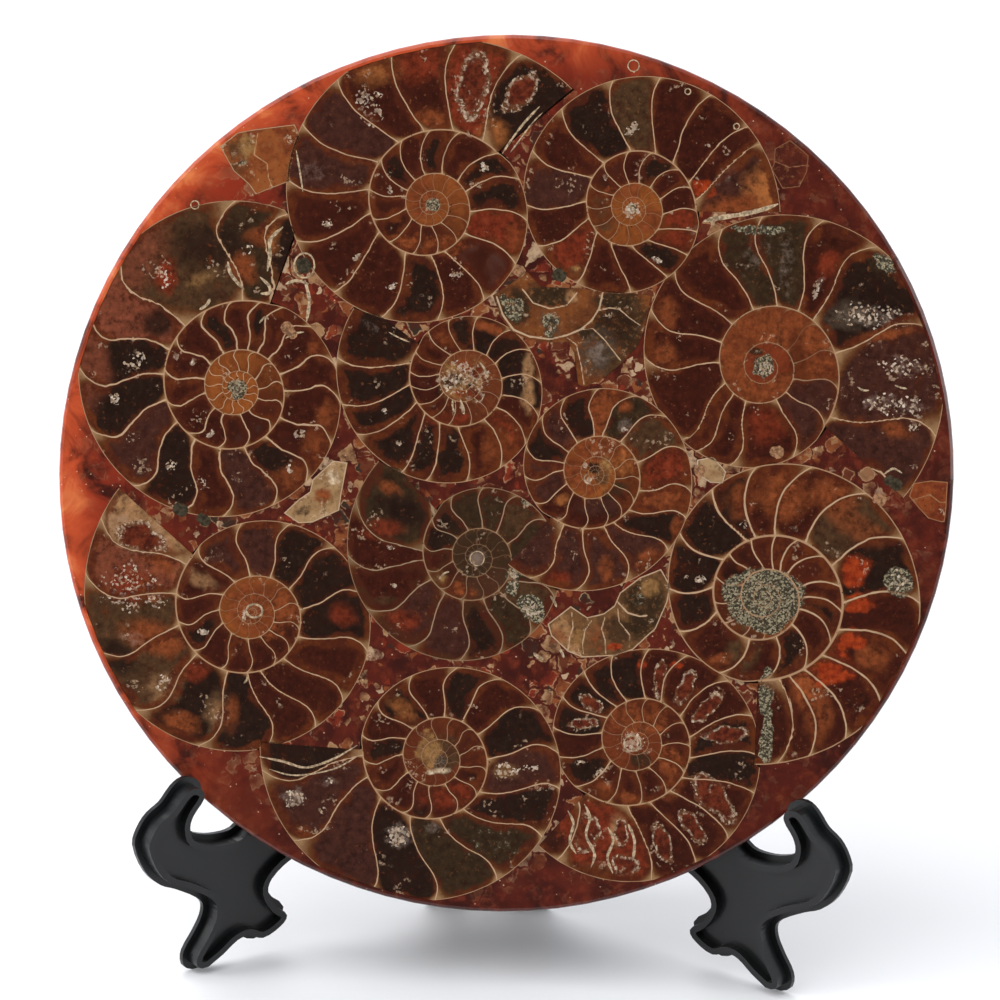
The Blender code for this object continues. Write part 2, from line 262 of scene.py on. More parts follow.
def cover(material, **wires):
    """Feed a material's shader, and give the material back."""
    skin = material.node_tree.nodes["Principled BSDF"].inputs
    for label, wire in wires.items():
        material.node_tree.links.new(wire.socket, skin[label.replace("_", " ")])
    return material


def crumbs_group():
    """Broken shell and crystal crumbs lying in the resin: a mask and a colour."""
    tree, given = new_group("crumbs", Where="Vector", Size=1.0, Share=0.3)
    where = given["Where"].bent(0.8, 3, 0.0009)
    edge = where.cells(given["Size"], "DISTANCE_TO_EDGE")
    pick = where.cells(given["Size"])["Color"].split()
    chosen = pick[0] < given["Share"]
    inside = step(edge, 0.05, 0.09)
    colour = pick.add("ShaderNodeValToRGB", (pick[1],))
    ramp = colour.socket.node.color_ramp
    ramp.interpolation = "CONSTANT"
    stops = ((0.0, (0.19, 0.055, 0.018)), (0.3, (0.10, 0.026, 0.011)), (0.5, (0.27, 0.14, 0.065)),
             (0.68, (0.030, 0.018, 0.011)), (0.8, (0.17, 0.022, 0.009)), (0.9, (0.38, 0.25, 0.15)))
    for place, crumb in stops:
        stop = ramp.elements.new(place) if place else ramp.elements[0]
        stop.color = (*crumb, 1)
    return put_out(tree, Mask=chosen * inside, Colour=colour,
                   Edge=chosen * (inside * (1.0 - step(edge, 0.10, 0.17))))


crumbs = crumbs_group()


def resin_finish():
    material, where = new_finish("red_resin", Roughness=0.3, Specular_IOR_Level=0.15,
                                 Coat_Weight=0.6, Coat_Roughness=0.04, IOR=1.5)
    place = where.add("ShaderNodeMapping", {"Vector": where, "Location": -FACE_CENTRE},
                      vector_type="POINT")
    place = where.add("ShaderNodeVectorRotate", {"Vector": place, "Axis": (1, 0, 0),
                      "Angle": LEAN - pi / 2}, rotation_type="AXIS_ANGLE")
    place = where.add("ShaderNodeSeparateXYZ", (place,))
    from_centre = hypotenuse(place[0], place[1])
    rim = step(from_centre, 0.030, 0.043)
    # painted glow: light shining through the clear resin at the upper left rim, orange at its edge
    glow = rim * step(place[0] * -20.0 + place[1] * 14.0, -0.15, 0.85)
    edge = glow * step(from_centre, 0.0395, 0.0435)
    cloud = where.noise(5.0, 5, 0.6, warp=0.8)
    fine = where.noise(1.2, 4, 0.65)
    colour = mix(step(cloud, 0.35, 0.65), (0.032, 0.006, 0.004), (0.078, 0.011, 0.0055))
    for share, brighter in ((step(fine, 0.45, 0.75), (0.12, 0.020, 0.009)),
                            (glow * step(cloud, 0.36, 0.56), (0.25, 0.027, 0.010)),
                            (edge * step(cloud, 0.3, 0.6), (0.46, 0.070, 0.022)),
                            (edge * step(cloud, 0.54, 0.70), (0.60, 0.17, 0.055))):
        colour = mix(share, colour, brighter)
    inner = 1.0 - rim * 0.95
    big, small = [where.add("ShaderNodeGroup", {"Where": where, "Size": size, "Share": share},
                            node_tree=crumbs) for size, share in ((1.6, 0.52), (0.75, 0.32))]
    colour = mix(big["Mask"] * (inner * step(fine, 0.3, 0.6)), colour, big["Colour"])
    colour = mix(big["Edge"] * (inner * step(fine, 0.4, 0.65)), colour, (0.32, 0.19, 0.10))
    colour = mix(small["Mask"] * (inner * step(cloud, 0.45, 0.6)), colour, small["Colour"])
    dust = (where.cells(0.95) < 0.085) * step(fine, 0.40, 0.55)
    return cover(material, Base_Color=mix(dust * 0.75, colour, (0.50, 0.30, 0.20)))


def give(node_name, material):
    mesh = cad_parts[node_name].data
    mesh.materials.clear()
    mesh.materials.append(material)


give("resin_matrix", resin_finish())


# ---- The ammonites -----------------------------------------------------------------------
# Each is a nodule sawn through its coil: a shell wall that winds outwards, crossed by thin
# curved septa.  Calcite fills the chambers, brown to amber, and mud or crystals fill some.
# It is set in the resin and ground flush.  Angles run clockwise from the right.

TO_PLATE = Matrix.Translation(FACE_CENTRE) @ Euler((pi / 2 - LEAN, 0, 0)).to_matrix().to_4x4()
PLATE_MM = TO_PLATE @ Matrix.Scale(MM, 4)
DISC_LONG = 88.0
DISC_SHORT = 86.3
DISC_TURN = radians(12.8)
SLICE_THICK = 1.5
SNUG = 0.28                     # the slice fills its pocket but for a hair
POCKET = 0.30                   # the pocket's wall stands this far off the outline
RIM_LEFT = 0.65                 # resin left outside a slice
TURN_STEPS = 240                # columns of faces in one turn
ROW_HEIGHT = 0.33               # height of a row of faces across the outer whorl
COIL_GROWTH = log(2.2)          # the inner coils widen 2.2 times in a turn
SEPTA_PER_TURN = 13             # where they are too small to be placed singly
LEAST_CHAMBER = 4               # degrees
SEPTUM_BOW = 6.0                # degrees that a septum's middle lags behind its ends
CLOSING = 12                    # degrees over which the last turn widens to its pocket
LARGEST_REACH = 25              # no shell reaches further from its centre
LIMIT_HALVINGS = 14             # of the search for how far a later shell may reach
MERGE = 0.002
shells = []                     # those made so far; each trims the ones after it


def wall_radius(shell, angle):
    """Radius of the shell's outer wall, smooth through radii a quarter turn apart."""
    radii = shell["radii"]
    place = (angle - shell["first"]) / 90
    if place < 0:
        return radii[0] * exp(COIL_GROWTH * place / 4)
    index = min(floor(place), len(radii) - 2)
    part = place - index
    r1, r2 = log(radii[index]), log(radii[index + 1])
    r0 = log(radii[index - 1]) if index > 0 else 2 * r1 - r2
    r3 = log(radii[index + 2]) if index + 2 < len(radii) else 2 * r2 - r1
    slope1, slope2 = (r2 - r0) / 2, (r3 - r1) / 2
    cubed, squared = part ** 3, part ** 2
    return exp((2 * cubed - 3 * squared + 1) * r1 + (cubed - 2 * squared + part) * slope1
               + (3 * squared - 2 * cubed) * r2 + (cubed - squared) * slope2)


def is_free(point, grow):
    """True if a point lies on the plate and clear of every shell made so far."""
    across, up_face = point
    turned_x = across * cos(DISC_TURN) + up_face * sin(DISC_TURN)
    turned_y = up_face * cos(DISC_TURN) - across * sin(DISC_TURN)
    if hypot(turned_x / (DISC_LONG / 2 - RIM_LEFT), turned_y / (DISC_SHORT / 2 - RIM_LEFT)) > 1:
        return False
    for shell in shells:
        dx, dy = across - shell["centre"][0], up_face - shell["centre"][1]
        away = hypot(dx, dy)
        if away > LARGEST_REACH:
            continue
        angle = degrees(atan2(-dy, dx))
        # the same direction, as an angle in the shell's last turn
        near = [shell["end"] - (shell["end"] - turn) % 360
                for turn in (angle, angle - degrees(grow / max(away, 1)))]
        if away < max(wall_radius(shell, turn) for turn in near) + grow:
            return False
    return True


def reach_to(centre, direction, outside):
    """How far a wall can go before it meets the rim or an earlier shell."""
    if is_free(centre + direction * outside, POCKET):
        return outside
    low, high = 0.0, outside
    for _ in range(LIMIT_HALVINGS):
        middle = (low + high) / 2
        if is_free(centre + direction * middle, POCKET):
            low = middle
        else:
            high = middle
    return middle


def septa_marks(shell):
    """Each septum's angle at the outer wall and the lead of its inner end, oldest first."""
    listed = sorted(shell["septa"])
    listed.append((listed[-1][0] + 40, listed[-1][1]))
    inner = []
    angle = listed[0][0]
    while angle > shell["start"] - 400:
        angle -= 360 / SEPTA_PER_TURN
        inner.append((angle, 5))
    return sorted(inner) + listed


def coil_place(shell, marks, angle, across):
    """Chamber coordinate at a place: whole at a septum.  Also the chamber's width in degrees."""
    shift = shell["wave"] * sin(2 * pi * across) - SEPTUM_BOW * 4 * across * (1 - across)
    inward = 1 - across
    index = bisect_right(marks, angle - shift, key=lambda mark: mark[0] + mark[1] * inward) - 1
    index = min(max(index, 0), len(marks) - 2)     # the last mark lies past the mouth
    old = marks[index][0] + marks[index][1] * inward
    width = max(marks[index + 1][0] + marks[index + 1][1] * inward - old, LEAST_CHAMBER)
    return index + min(max((angle - shift - old) / width, 0), 2), width


PATCH_REACH = 1.35              # a patch ends at this share of its half-widths
PATCH_FADE = 0.7                # and fades over the last of it
PATCH_SEED = 8                  # of the patches' ragged edges, which else follow the clock
noise.seed_set(PATCH_SEED)
# the fills: grains, mist, a painted glow where light shines through, and pale flecks partly painted as
# glints
FILLS = ("grain", "mist", "glow", "fleck")
TINTS = dict(
    amber=(0.22, 0.070, 0.019), olive=(0.050, 0.023, 0.0095), tan=(0.24, 0.12, 0.052),
    cream=(0.50, 0.38, 0.25), grey=(0.050, 0.033, 0.021), green=(0.027, 0.0142, 0.0062),
    rose=(0.13, 0.034, 0.016), maroon=(0.034, 0.0065, 0.0032), violet=(0.040, 0.0125, 0.0078),
    dark=(0.014, 0.006, 0.0035), red=(0.12, 0.018, 0.0065), orange=(0.15, 0.036, 0.0105),
    gold=(0.20, 0.10, 0.034))


def in_full(tints, fills):
    """Every patch as a kind, a place, two half-widths, a strength and a turn in degrees."""
    patches = [*tints, *((kind, *patch) for kind, places in fills.items() for patch in places)]
    return [(*patch, *(1, 0)[len(patch) - 5:]) for patch in patches]


def colour_layers(shape):
    """Where a shape's points keep their fills, their tint and their depth into a hollow."""
    layers = shape.verts.layers
    return layers.float_color.new("fill"), layers.float_color.new("tint"), layers.float.new("hollow")


def paint(layers, vert, x, y, patches, look="plain"):
    """Colour a point: first the chamber's own look, then the ragged, soft-edged patches."""
    fills = [0.0, 0.0, 0.0, 0.0]
    tint = [0.0, 0.0, 0.0, 0.0]
    hollow = 0.0
    shares = [] if look == "plain" else [(look, 0.95)]
    for kind, middle_x, middle_y, long, short, strength, turn in patches:
        dx, dy = x - middle_x, y - middle_y
        if max(abs(dx), abs(dy)) > 2 * max(long, short):
            continue
        least = min(long, short)
        ragged = noise.noise_vector(Vector((x, y, middle_x)) / (0.4 + 0.7 * least)) * 0.5 * min(
            least, 1.1)
        dx, dy = dx + ragged.x, dy + ragged.y
        c, s = cos(radians(turn)), sin(radians(turn))
        away = hypot((dx * c + dy * s) / long, (dy * c - dx * s) / short)
        if kind == "hollow":
            hollow = max(hollow, strength * min(max(PATCH_REACH - away, 0), 1))
        else:
            shares.append((kind, strength * min(max((PATCH_REACH - away) / PATCH_FADE, 0), 1)))
    for kind, share in shares:
        if kind in FILLS:
            fills[FILLS.index(kind)] = max(fills[FILLS.index(kind)], share)
        elif share > 0:
            total = share + tint[3] * (1 - share)
            tint[:3] = [(TINTS[kind][index] * share + tint[index] * tint[3] * (1 - share)) / total
                        for index in range(3)]
            tint[3] = total
    for layer, value in zip(layers, (fills, tint, hollow)):
        vert[layer] = value


def chamber_group():
    """The shell's walls, septa and corner fillets, from its coil coordinates, as masks."""
    tree, given = new_group("chambers", Seed=0.0, Wobble=0.35, Septum=0.10, Wall=0.14)
    where = given.add("ShaderNodeTexCoord", out="Object")
    coil, size = [given.add("ShaderNodeSeparateXYZ", (given.add(
        "ShaderNodeUVMap", uv_map=name),)) for name in ("coil", "size")]
    length, height = size[0], size[1]
    along = coil[0] + (where.noise(1.9) - 0.5) * given["Wobble"] / length
    part = along.math("FRACT")
    to_old = part * length
    to_new = (1.0 - part) * length
    to_inner = coil[1] * height
    to_outer = (1.0 - coil[1]) * height
    to_septum = to_old.math("MINIMUM", to_new)
    to_wall = to_inner.math("MINIMUM", to_outer)
    small = step(height, 0.8, 5.0)
    septa = 1.0 - step(to_septum / (given["Septum"] * mix(small, 0.45, 1.0)), 0.55, 1.25)
    walls = 1.0 - step(to_wall / (given["Wall"] * mix(small, 0.5, 1.0)), 0.6, 1.3)
    reach = length.math("MINIMUM", height)
    fillets = -1.0
    for one, other, share in ((to_inner, to_old, 0.6), (to_outer, to_new, 0.42),
                              (to_inner, to_new, 0.36), (to_outer, to_old, 0.26)):
        radius = reach * share
        away = hypotenuse((radius - one).math("MAXIMUM", 0.0), (radius - other).math("MAXIMUM", 0.0))
        fillets = (away / radius - 1.0).math("MAXIMUM", fillets)
    pick = given.add("ShaderNodeTexWhiteNoise", {"W": along.math("FLOOR") + given["Seed"]}, out=1,
                     noise_dimensions="1D")
    return put_out(tree, Septa=septa, Walls=walls, Fillets=fillets,
                   Edge=to_septum.math("MINIMUM", to_wall), Height=height, Pick=pick,
                   Around=coil[0], Across=coil[1])


chambers = chamber_group()


def shards_and_sparkle_group():
    """Small angular flecks of pale crystal in loose clusters, partly painted sparkle: a mask."""
    tree, given = new_group("shards_and_sparkle", Where="Vector", Size=0.35, Share=0.3, Cluster=2.2, Rarity=0.6)
    where = given["Where"]
    bent = where.bent(0.5, 2, 0.0006)
    chosen = bent.cells(given["Size"])["Color"].split()[0] < given["Share"]
    edge = bent.cells(given["Size"], "DISTANCE_TO_EDGE")
    near = step(where.noise(given["Cluster"]) - given["Rarity"], 0.0, 0.07)
    return put_out(tree, Mask=(chosen * step(edge, 0.04, 0.12)) * near)


shards_and_sparkle = shards_and_sparkle_group()


def shard_and_sparkle_mask(where, share, cluster, rarity):
    return where.add("ShaderNodeGroup", {"Where": where, "Size": 0.3, "Share": share,
                                         "Cluster": cluster, "Rarity": rarity}, node_tree=shards_and_sparkle)


def overlay_group():
    """Lays the painted tint, dark mud, a painted glow of light through the calcite, mist, grains and pale
    flecks partly painted as glints over a colour.
    """
    tree, given = new_group("overlay", Where="Vector", Colour="Color")
    where, colour = given["Where"], given["Colour"]
    fill, tint = [given.add("ShaderNodeAttribute", attribute_name=name) for name in ("fill", "tint")]
    filled = fill["Color"].split()
    cloud = where.noise(2.4, 4, 0.6, warp=0.3) - 0.5
    fine = where.noise(0.7, 4, 0.7) - 0.5

    def patchy(share, roughly, finely, low, high):
        return step(share + (cloud * roughly + fine * finely), low, high)

    shade = given.add("ShaderNodeHueSaturation", {"Value": fine * 2.6 + 1.0, "Color": tint["Color"]})
    colour = mix(patchy(tint["Alpha"], 1.2, 1.7, 0.15, 1.0), colour, shade)
    stone = where.cells(0.22)["Color"].split()
    # painted glow: light shining through clear calcite, painted in as red
    glow = mix(step(fine, -0.15, 0.15), (0.15, 0.015, 0.004), (0.29, 0.038, 0.008))
    colour = mix(patchy(filled[2], 0.9, 0.2, 0.2, 1.0), colour, glow)
    colour = mix(patchy(filled[1], 0.6, 2.0, 0.3, 1.2) * 0.75, colour, (0.19, 0.135, 0.105))
    grainy = patchy(filled[0], 0.0, 0.9, 0.45, 0.6)
    grit = mix(step(where.cells(0.15)["Color"].split()[0], 0.35, 1.0), (0.030, 0.023, 0.013),
               (0.27, 0.225, 0.140))
    colour = mix(grainy, colour, grit)
    # pale flecks of crystal, partly painted glints of light
    flecks_and_glints = step(fill["Alpha"] + stone[0] * 0.8, 0.98, 1.04) * mix(stone[1], 0.3, 0.95)
    colour = mix(flecks_and_glints, colour, mix(stone[2], (0.30, 0.19, 0.11), (0.62, 0.50, 0.39)))
    # a hollow is lined with pale crystals round a red heart
    depth = given.add("ShaderNodeAttribute", attribute_name="hollow", out="Fac")
    depth = depth + (stone[0] - 0.5) * 0.16
    colour = mix(step(depth, 0.30, 0.46), colour,
                 mix(step(fine, -0.15, 0.2), (0.045, 0.008, 0.004), (0.14, 0.026, 0.010)))
    crust = step(depth, 0.20, 0.27) * (1.0 - step(depth, 0.42, 0.60))
    colour = mix(crust * mix(stone[1], 0.5, 1.0), colour,
                 mix(step(stone[2], 0.35, 1.0), (0.10, 0.040, 0.016), (0.46, 0.34, 0.24)))
    return put_out(tree, Colour=colour, Grainy=grainy)


overlay = overlay_group()
POLISH = dict(Roughness=0.35, Specular_IOR_Level=0.12, Coat_Weight=0.6, Coat_Roughness=0.03,
              IOR=1.45)


def toned(colour, *shares):
    """A colour made darker or lighter, by one share or by one for each part."""
    return tuple(part * share for part, share in zip(colour, shares if len(shares) > 1
                                                     else shares * 3))


def calcite_finish(name, seed, heart=(0.235, 0.066, 0.0135), amber=(0.20, 0.045, 0.0115),
                   septum=(0.42, 0.27, 0.16), wall=(0.36, 0.21, 0.115), wobble=0.35,
                   septum_width=0.062, wall_width=0.075, orange_below=2.3, inner_septa=0.2):
    """Polished calcite-filled chambers, for one ammonite."""
    material, where = new_finish(name, **POLISH)
    part = where.add("ShaderNodeGroup", {"Seed": seed, "Wobble": wobble, "Septum": septum_width,
                                         "Wall": wall_width}, node_tree=chambers)
    pick = part["Pick"].split()
    cloud = where.noise(3.0, 4, 0.55, warp=0.3)
    other_cloud = where.vector("ADD", (0.05, 0.02, 0.03)).noise(2.2, 4, 0.6)
    fine = where.noise(0.7, 4, 0.7)
    # each chamber has its own depth of colour, clouded, and clearer by its walls
    by_edge = 1.0 - step(part["Edge"], 0.15, 1.1)
    tone = pick[0] * 0.75 + (cloud - 0.5) * 1.5
    colour = mix(tone.math("ADD", by_edge * 0.35, clamp=True), (0.018, 0.005, 0.003),
                 (0.060, 0.011, 0.0045))
    warm = step(other_cloud + part["Across"] * 0.12, 0.64, 0.80) * mix(pick[1], 0.15, 0.9)
    colour = mix(warm, colour, amber)
    hazed = step(cloud, 0.50, 0.72) * (step(part["Edge"], 0.3, 1.2) * (pick[2] * 0.5))
    colour = mix(hazed, colour, (0.075, 0.038, 0.028))
    inner_coil = 1.0 - step(part["Height"], orange_below * 0.75, orange_below * 1.25)
    ribs = where.add("ShaderNodeCombineXYZ", (part["Around"] * 0.004, part["Across"] * 0.0008))
    core = mix((ribs.noise(0.5) + fine) * 0.5, toned(heart, 0.2), toned(heart, 1.7))
    colour = mix(inner_coil * 0.9, colour, core)
    laid = where.add("ShaderNodeGroup", {"Where": where, "Colour": colour}, node_tree=overlay)
    grainy = laid["Grainy"]
    # towards the walls each chamber clears to a warm, mottled brown, with a ragged edge
    inward = part["Edge"] + ((cloud - 0.5) * 3.2 + (fine - 0.5) * 1.5)
    inward = inward - step(part["Across"], 0.6, 1.0) * 0.5 + (pick[1] - 0.5) * 0.7
    clear = (1.0 - step(inward, 0.05, 0.6)) * (0.85 - inner_coil * 0.6)
    rim = mix(step(other_cloud + (fine - 0.5), 0.35, 0.7), (0.058, 0.0115, 0.005),
              toned(amber, 0.5))
    colour = mix(clear * (1.0 - grainy), laid["Colour"], rim)
    specks = step(where.noise(0.42, 3, 0.7), 0.60, 0.72) * 0.55
    colour = mix(specks, colour, mix(pick[2], (0.20, 0.075, 0.028), (0.13, 0.03, 0.010)))
    # pale crystal shards, partly painted sparkle
    colour = mix(shard_and_sparkle_mask(where, 0.34, 2.1, 0.61) * 0.5, colour, (0.42, 0.28, 0.18))
    # the chambers' corners are rounded, amber where they meet the calcite and pale within
    corner = part["Fillets"] + (fine - 0.5) * 0.25
    colour = mix(step(corner, -0.10, 0.10) * mix(inner_coil, 0.9, 0.4), colour,
                 mix(step(corner, 0.02, 0.32), (0.095, 0.030, 0.009),
                     toned(septum, 0.62, 0.54, 0.42)))
    septa = (part["Septa"] * (1.0 - grainy * 0.85)) * mix(
        inner_coil, mix(step(cloud, 0.2, 0.55), 0.6, 0.95), inner_septa)
    colour = mix(septa, colour, septum)
    colour = mix(part["Walls"] * mix(inner_coil, 0.85, 0.4), colour, wall)
    # pinholes run along the inner wall
    pores = (where.cells(0.55) < 0.16) * (part["Across"] * part["Height"] < 0.35)
    colour = mix(pores * 0.8, colour, (0.02, 0.01, 0.006))
    return cover(material, Base_Color=colour, Roughness=mix(grainy, 0.3, 0.5))


def set_flush(name, shape, finish):
    """Give a flat slice its thickness, and set it in the plate for the solid of that name."""
    rims = [edge for edge in shape.edges if edge.is_boundary]
    walls = bmesh.ops.extrude_edge_only(shape, edges=rims)["geom"]
    for item in walls:
        if isinstance(item, bmesh.types.BMVert):
            item.co.z = -SLICE_THICK
    bmesh.ops.edgeloop_fill(shape, edges=[
        item for item in walls if isinstance(item, bmesh.types.BMEdge) and item.is_boundary])
    bmesh.ops.recalc_face_normals(shape, faces=shape.faces)
    shape.transform(PLATE_MM)
    piece = new_piece(name + "_slice", shape, finish)
    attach(piece, "root")
    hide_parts(name)
    return piece


def ammonite(name, centre, first, radii, end, start, septa, looks, finish, wave=0.0, tints=(),
             **fills):
    """A coil of quads, laid out column by column along the shell and row by row across it.

    A septum is its angle at the outer wall and the lead of its inner end.  `looks` names
    each chamber's colour, from the mouth inwards.  Over them lie patches of tint and of
    each fill: a place, two half-widths, and the strength and the turn where they matter.
    """
    shell = dict(centre=centre, first=first, radii=radii, end=end, start=start, septa=septa,
                 wave=wave)
    marks = septa_marks(shell)
    looks = dict(enumerate(looks.split()))
    patches = in_full(tints, fills)
    columns = round((end - start) * TURN_STEPS / 360)
    rows = round((wall_radius(shell, end - 90) - wall_radius(shell, end - 450)) / ROW_HEIGHT)
    coil = bmesh.new()
    bmesh.ops.create_grid(coil, x_segments=columns, y_segments=rows, size=1.0)
    layers = colour_layers(coil)
    centre = Vector(centre)
    facts, limits = {}, {}
    for vert in coil.verts:
        column = round((vert.co.x + 1) / 2 * columns)
        part = round((vert.co.y + 1) / 2 * rows) / rows
        angle = start + column * 360 / TURN_STEPS
        if column not in limits:
            outside = wall_radius(shell, angle)
            outside += SNUG * min(max((angle - (end - 360)) / CLOSING, 0), 1)
            direction = Vector((cos(radians(angle)), -sin(radians(angle))))
            limits[column] = (wall_radius(shell, angle - 360), outside,
                              reach_to(centre, direction, outside), direction)
        inside, outside, limit, direction = limits[column]
        first_row = min(inside, limit)
        radius = first_row + part * (limit - first_row)
        across = (radius - inside) / max(outside - inside, 0.01)
        chamber, width = coil_place(shell, marks, angle, across)
        place = centre + direction * radius
        if column == columns:
            place += Vector((direction.y, -direction.x)) * SNUG
        vert.co = (place.x, place.y, 0)
        facts[vert] = (chamber, across), (radians(width) * radius, outside - inside)
        look = looks.get(len(marks) - 2 - floor(chamber), "plain")
        paint(layers, vert, place.x, place.y, patches, look)
    coil_uv = coil.loops.layers.uv.new("coil")
    size_uv = coil.loops.layers.uv.new("size")
    for face in coil.faces:
        for loop in face.loops:
            loop[coil_uv].uv, loop[size_uv].uv = facts[loop.vert]
    bmesh.ops.remove_doubles(coil, verts=coil.verts, dist=MERGE)
    bmesh.ops.dissolve_degenerate(coil, edges=coil.edges, dist=MERGE / 2)
    heart = [edge for edge in coil.edges if edge.is_boundary and all(
        (v.co.xy - centre).length < wall_radius(shell, start + 360) * 0.8 for v in edge.verts)]
    for face in bmesh.ops.holes_fill(coil, edges=heart, sides=0)["faces"]:
        for loop in face.loops:
            loop[coil_uv].uv = (0.5, 0.5)
            loop[size_uv].uv = (6, 2)
    piece = set_flush(name, coil, calcite_finish(name.replace("ammonite", "calcite"), **finish))
    piece.data.shade_smooth()
    piece.data.set_sharp_from_angle(angle=radians(38))
    shells.append(shell)


# Upper left: the roundest one, fifteen dark chambers in its outer turn.
ammonite(
    "ammonite_upper_left", centre=(-8.4, 26.3), first=-360, end=318, start=-1460,
    radii=(3.7, 4.9, 6.1, 7.3, 9.1, 11.2, 13.9, 15.9, 19.2),
    finish=dict(seed=11.0, heart=(0.22, 0.060, 0.014)),
    septa=((299, 7), (277, 7), (254, 8), (231, 9), (210, 7), (188, 4), (163, 7), (136, 15), (112, 5),
        (85, 3), (59, 13), (33, 6), (7, 1), (-18, -5), (-39, -5), (-71, -2), (-93, -11), (-117, -9),
        (-140, -10)),
    looks="dark red maroon maroon violet violet maroon maroon maroon dark maroon plain red dark dark "
        "maroon dark maroon dark",
    tints=(("amber", -14.7, 39.5, 2.9, 1.6, 0.7), ("red", -9.7, 40.1, 2.8, 1.5, 1, 10),
        ("orange", -8.7, 34.6, 1.7, 0.9, 0.9), ("amber", -2.7, 33.5, 1.3, 1.3),
        ("orange", 0, 23.5, 1.1, 1.1, 0.5), ("orange", -9.3, 26.9, 1.5, 1.7),
        ("orange", -8.6, 22.4, 3.6, 1, 0.9)),
    hollow=((-4.8, 38.1, 1.4, 3.3, 1, -8), (-0.1, 37.6, 1.2, 2.2, 1, -38)),
    mist=((-19.9, 29.1, 1.4, 0.9, 0.5),),
    grain=((-8.2, 26.3, 0.75, 0.65, 1.2),),
    fleck=((-14.9, 35.5, 1.2, 1.8, 0.55, 30), (-18.5, 24.1, 0.6, 0.6, 0.5),
        (-14.2, 36.6, 0.4, 0.9, 0.6, -60), (-12.6, 27.5, 0.3, 0.5, 0.9), (-3.4, 30.1, 0.4, 0.5, 0.9),
        (-15.4, 20.9, 0.5, 0.3, 0.9, 30), (-12, 18.2, 0.6, 0.3, 0.9, 20),
        (-5.7, 19.6, 0.7, 0.4, 0.8, 20)))

# Upper right: its last chambers are amber, and its mouth is broken.
ammonite(
    "ammonite_upper_right", centre=(11.2, 26.7), first=-180, end=358, start=-1280,
    radii=(4.4, 5.6, 6.3, 8.0, 10.3, 12.6, 14.3),
    finish=dict(seed=23.0),
    septa=((331, 19), (323, 11), (303, 7), (280, 11), (259, 7), (233, 3), (208, 8), (180, 7), (156, 9),
        (124, 19), (88, 31), (61, 27), (38, 23), (18, 18), (1, 7), (-21, 1), (-41, -10), (-73, -4),
        (-96, -2)),
    looks="violet maroon maroon maroon olive dark maroon violet maroon red maroon maroon dark red red "
        "maroon maroon dark maroon",
    tints=(("amber", 24.3, 29, 2.2, 2.2, 1.1), ("orange", 21, 27.1, 2.9, 1.1, 1.1, 10),
        ("orange", 10.6, 28.3, 1.6, 0.9, 0.8), ("orange", 12.9, 25.5, 1, 1.5, 1, -30),
        ("olive", 8.4, 25.8, 1, 2, 0.7, 20), ("gold", 6.2, 20.3, 0.9, 0.5, 1, 10)),
    glow=((18, 28.9, 1.3, 0.8, 1, -20),),
    mist=((20.2, 30.3, 1.6, 0.6, 0.7, 40),),
    grain=((11.2, 26.7, 0.6, 0.55, 1.1),),
    fleck=((10.9, 34.4, 0.5, 0.8, 0.9, -50), (8.5, 29.7, 0.3, 0.3), (18.4, 33.1, 0.3, 0.3),
        (13.9, 21.7, 0.6, 0.3, 1, -30), (11.2, 26.5, 0.9, 0.8, 0.7), (17.9, 24.9, 1.5, 0.6, 0.6, 10)))

# Right of the middle: orange inside, with grey-violet chambers.
ammonite(
    "ammonite_centre_right", centre=(8.6, 0.6), first=90, end=490, start=-1100, wave=2.0,
    radii=(5.4, 6.7, 8.1, 9.3, 11.3, 13.0),
    finish=dict(seed=37.0),
    septa=((480, -1), (457, 3), (432, 6), (404, 23), (384, 21), (369, 10), (345, -2), (320, -14),
        (297, -17), (271, -3), (247, -8), (227, -11), (200, -4), (176, 8), (152, 6), (127, 9), (100, 9),
        (78, -4), (58, -6), (35, -7)),
    looks="violet violet violet violet dark orange red olive green orange dark violet dark violet violet "
        "maroon maroon maroon dark maroon",
    tints=(("orange", 8.9, 3, 2.5, 1.1, 1.2), ("orange", 6.7, 0.7, 1, 1.6, 1.2),
        ("orange", 7.9, -0.7, 1.1, 0.7, 1.1), ("gold", 9.7, 0.9, 0.5, 1.5, 0.9),
        ("dark", 8.5, 1.1, 0.6, 0.5, 1.2), ("olive", 9.3, 0.1, 0.7, 0.8, 0.9),
        ("amber", 11.4, 1.9, 1.2, 1.1, 0.5), ("green", 10.8, -1, 1.2, 0.7, 0.9, 30),
        ("violet", 9.3, -2.7, 2.4, 0.8), ("orange", 11.3, 7.3, 0.7, 0.6, 1, 20),
        ("orange", 16.9, -4.4, 0.5, 1.2, 0.9), ("orange", 14, -7.5, 1.2, 0.8, 1, 30),
        ("orange", 10.1, -8.8, 0.6, 1.3, 0.9), ("red", 5.1, -9.8, 1.6, 0.6),
        ("amber", 5.5, -2.1, 0.7, 0.5, 0.8, 30)),
    mist=((11.5, 5.2, 0.8, 0.8, 0.7),),
    fleck=((11.4, 5.1, 0.4, 0.3, 0.9), (7.7, 1.4, 0.3, 0.3, 0.9), (8.1, -0.1, 0.5, 0.3, 0.9, 50)))

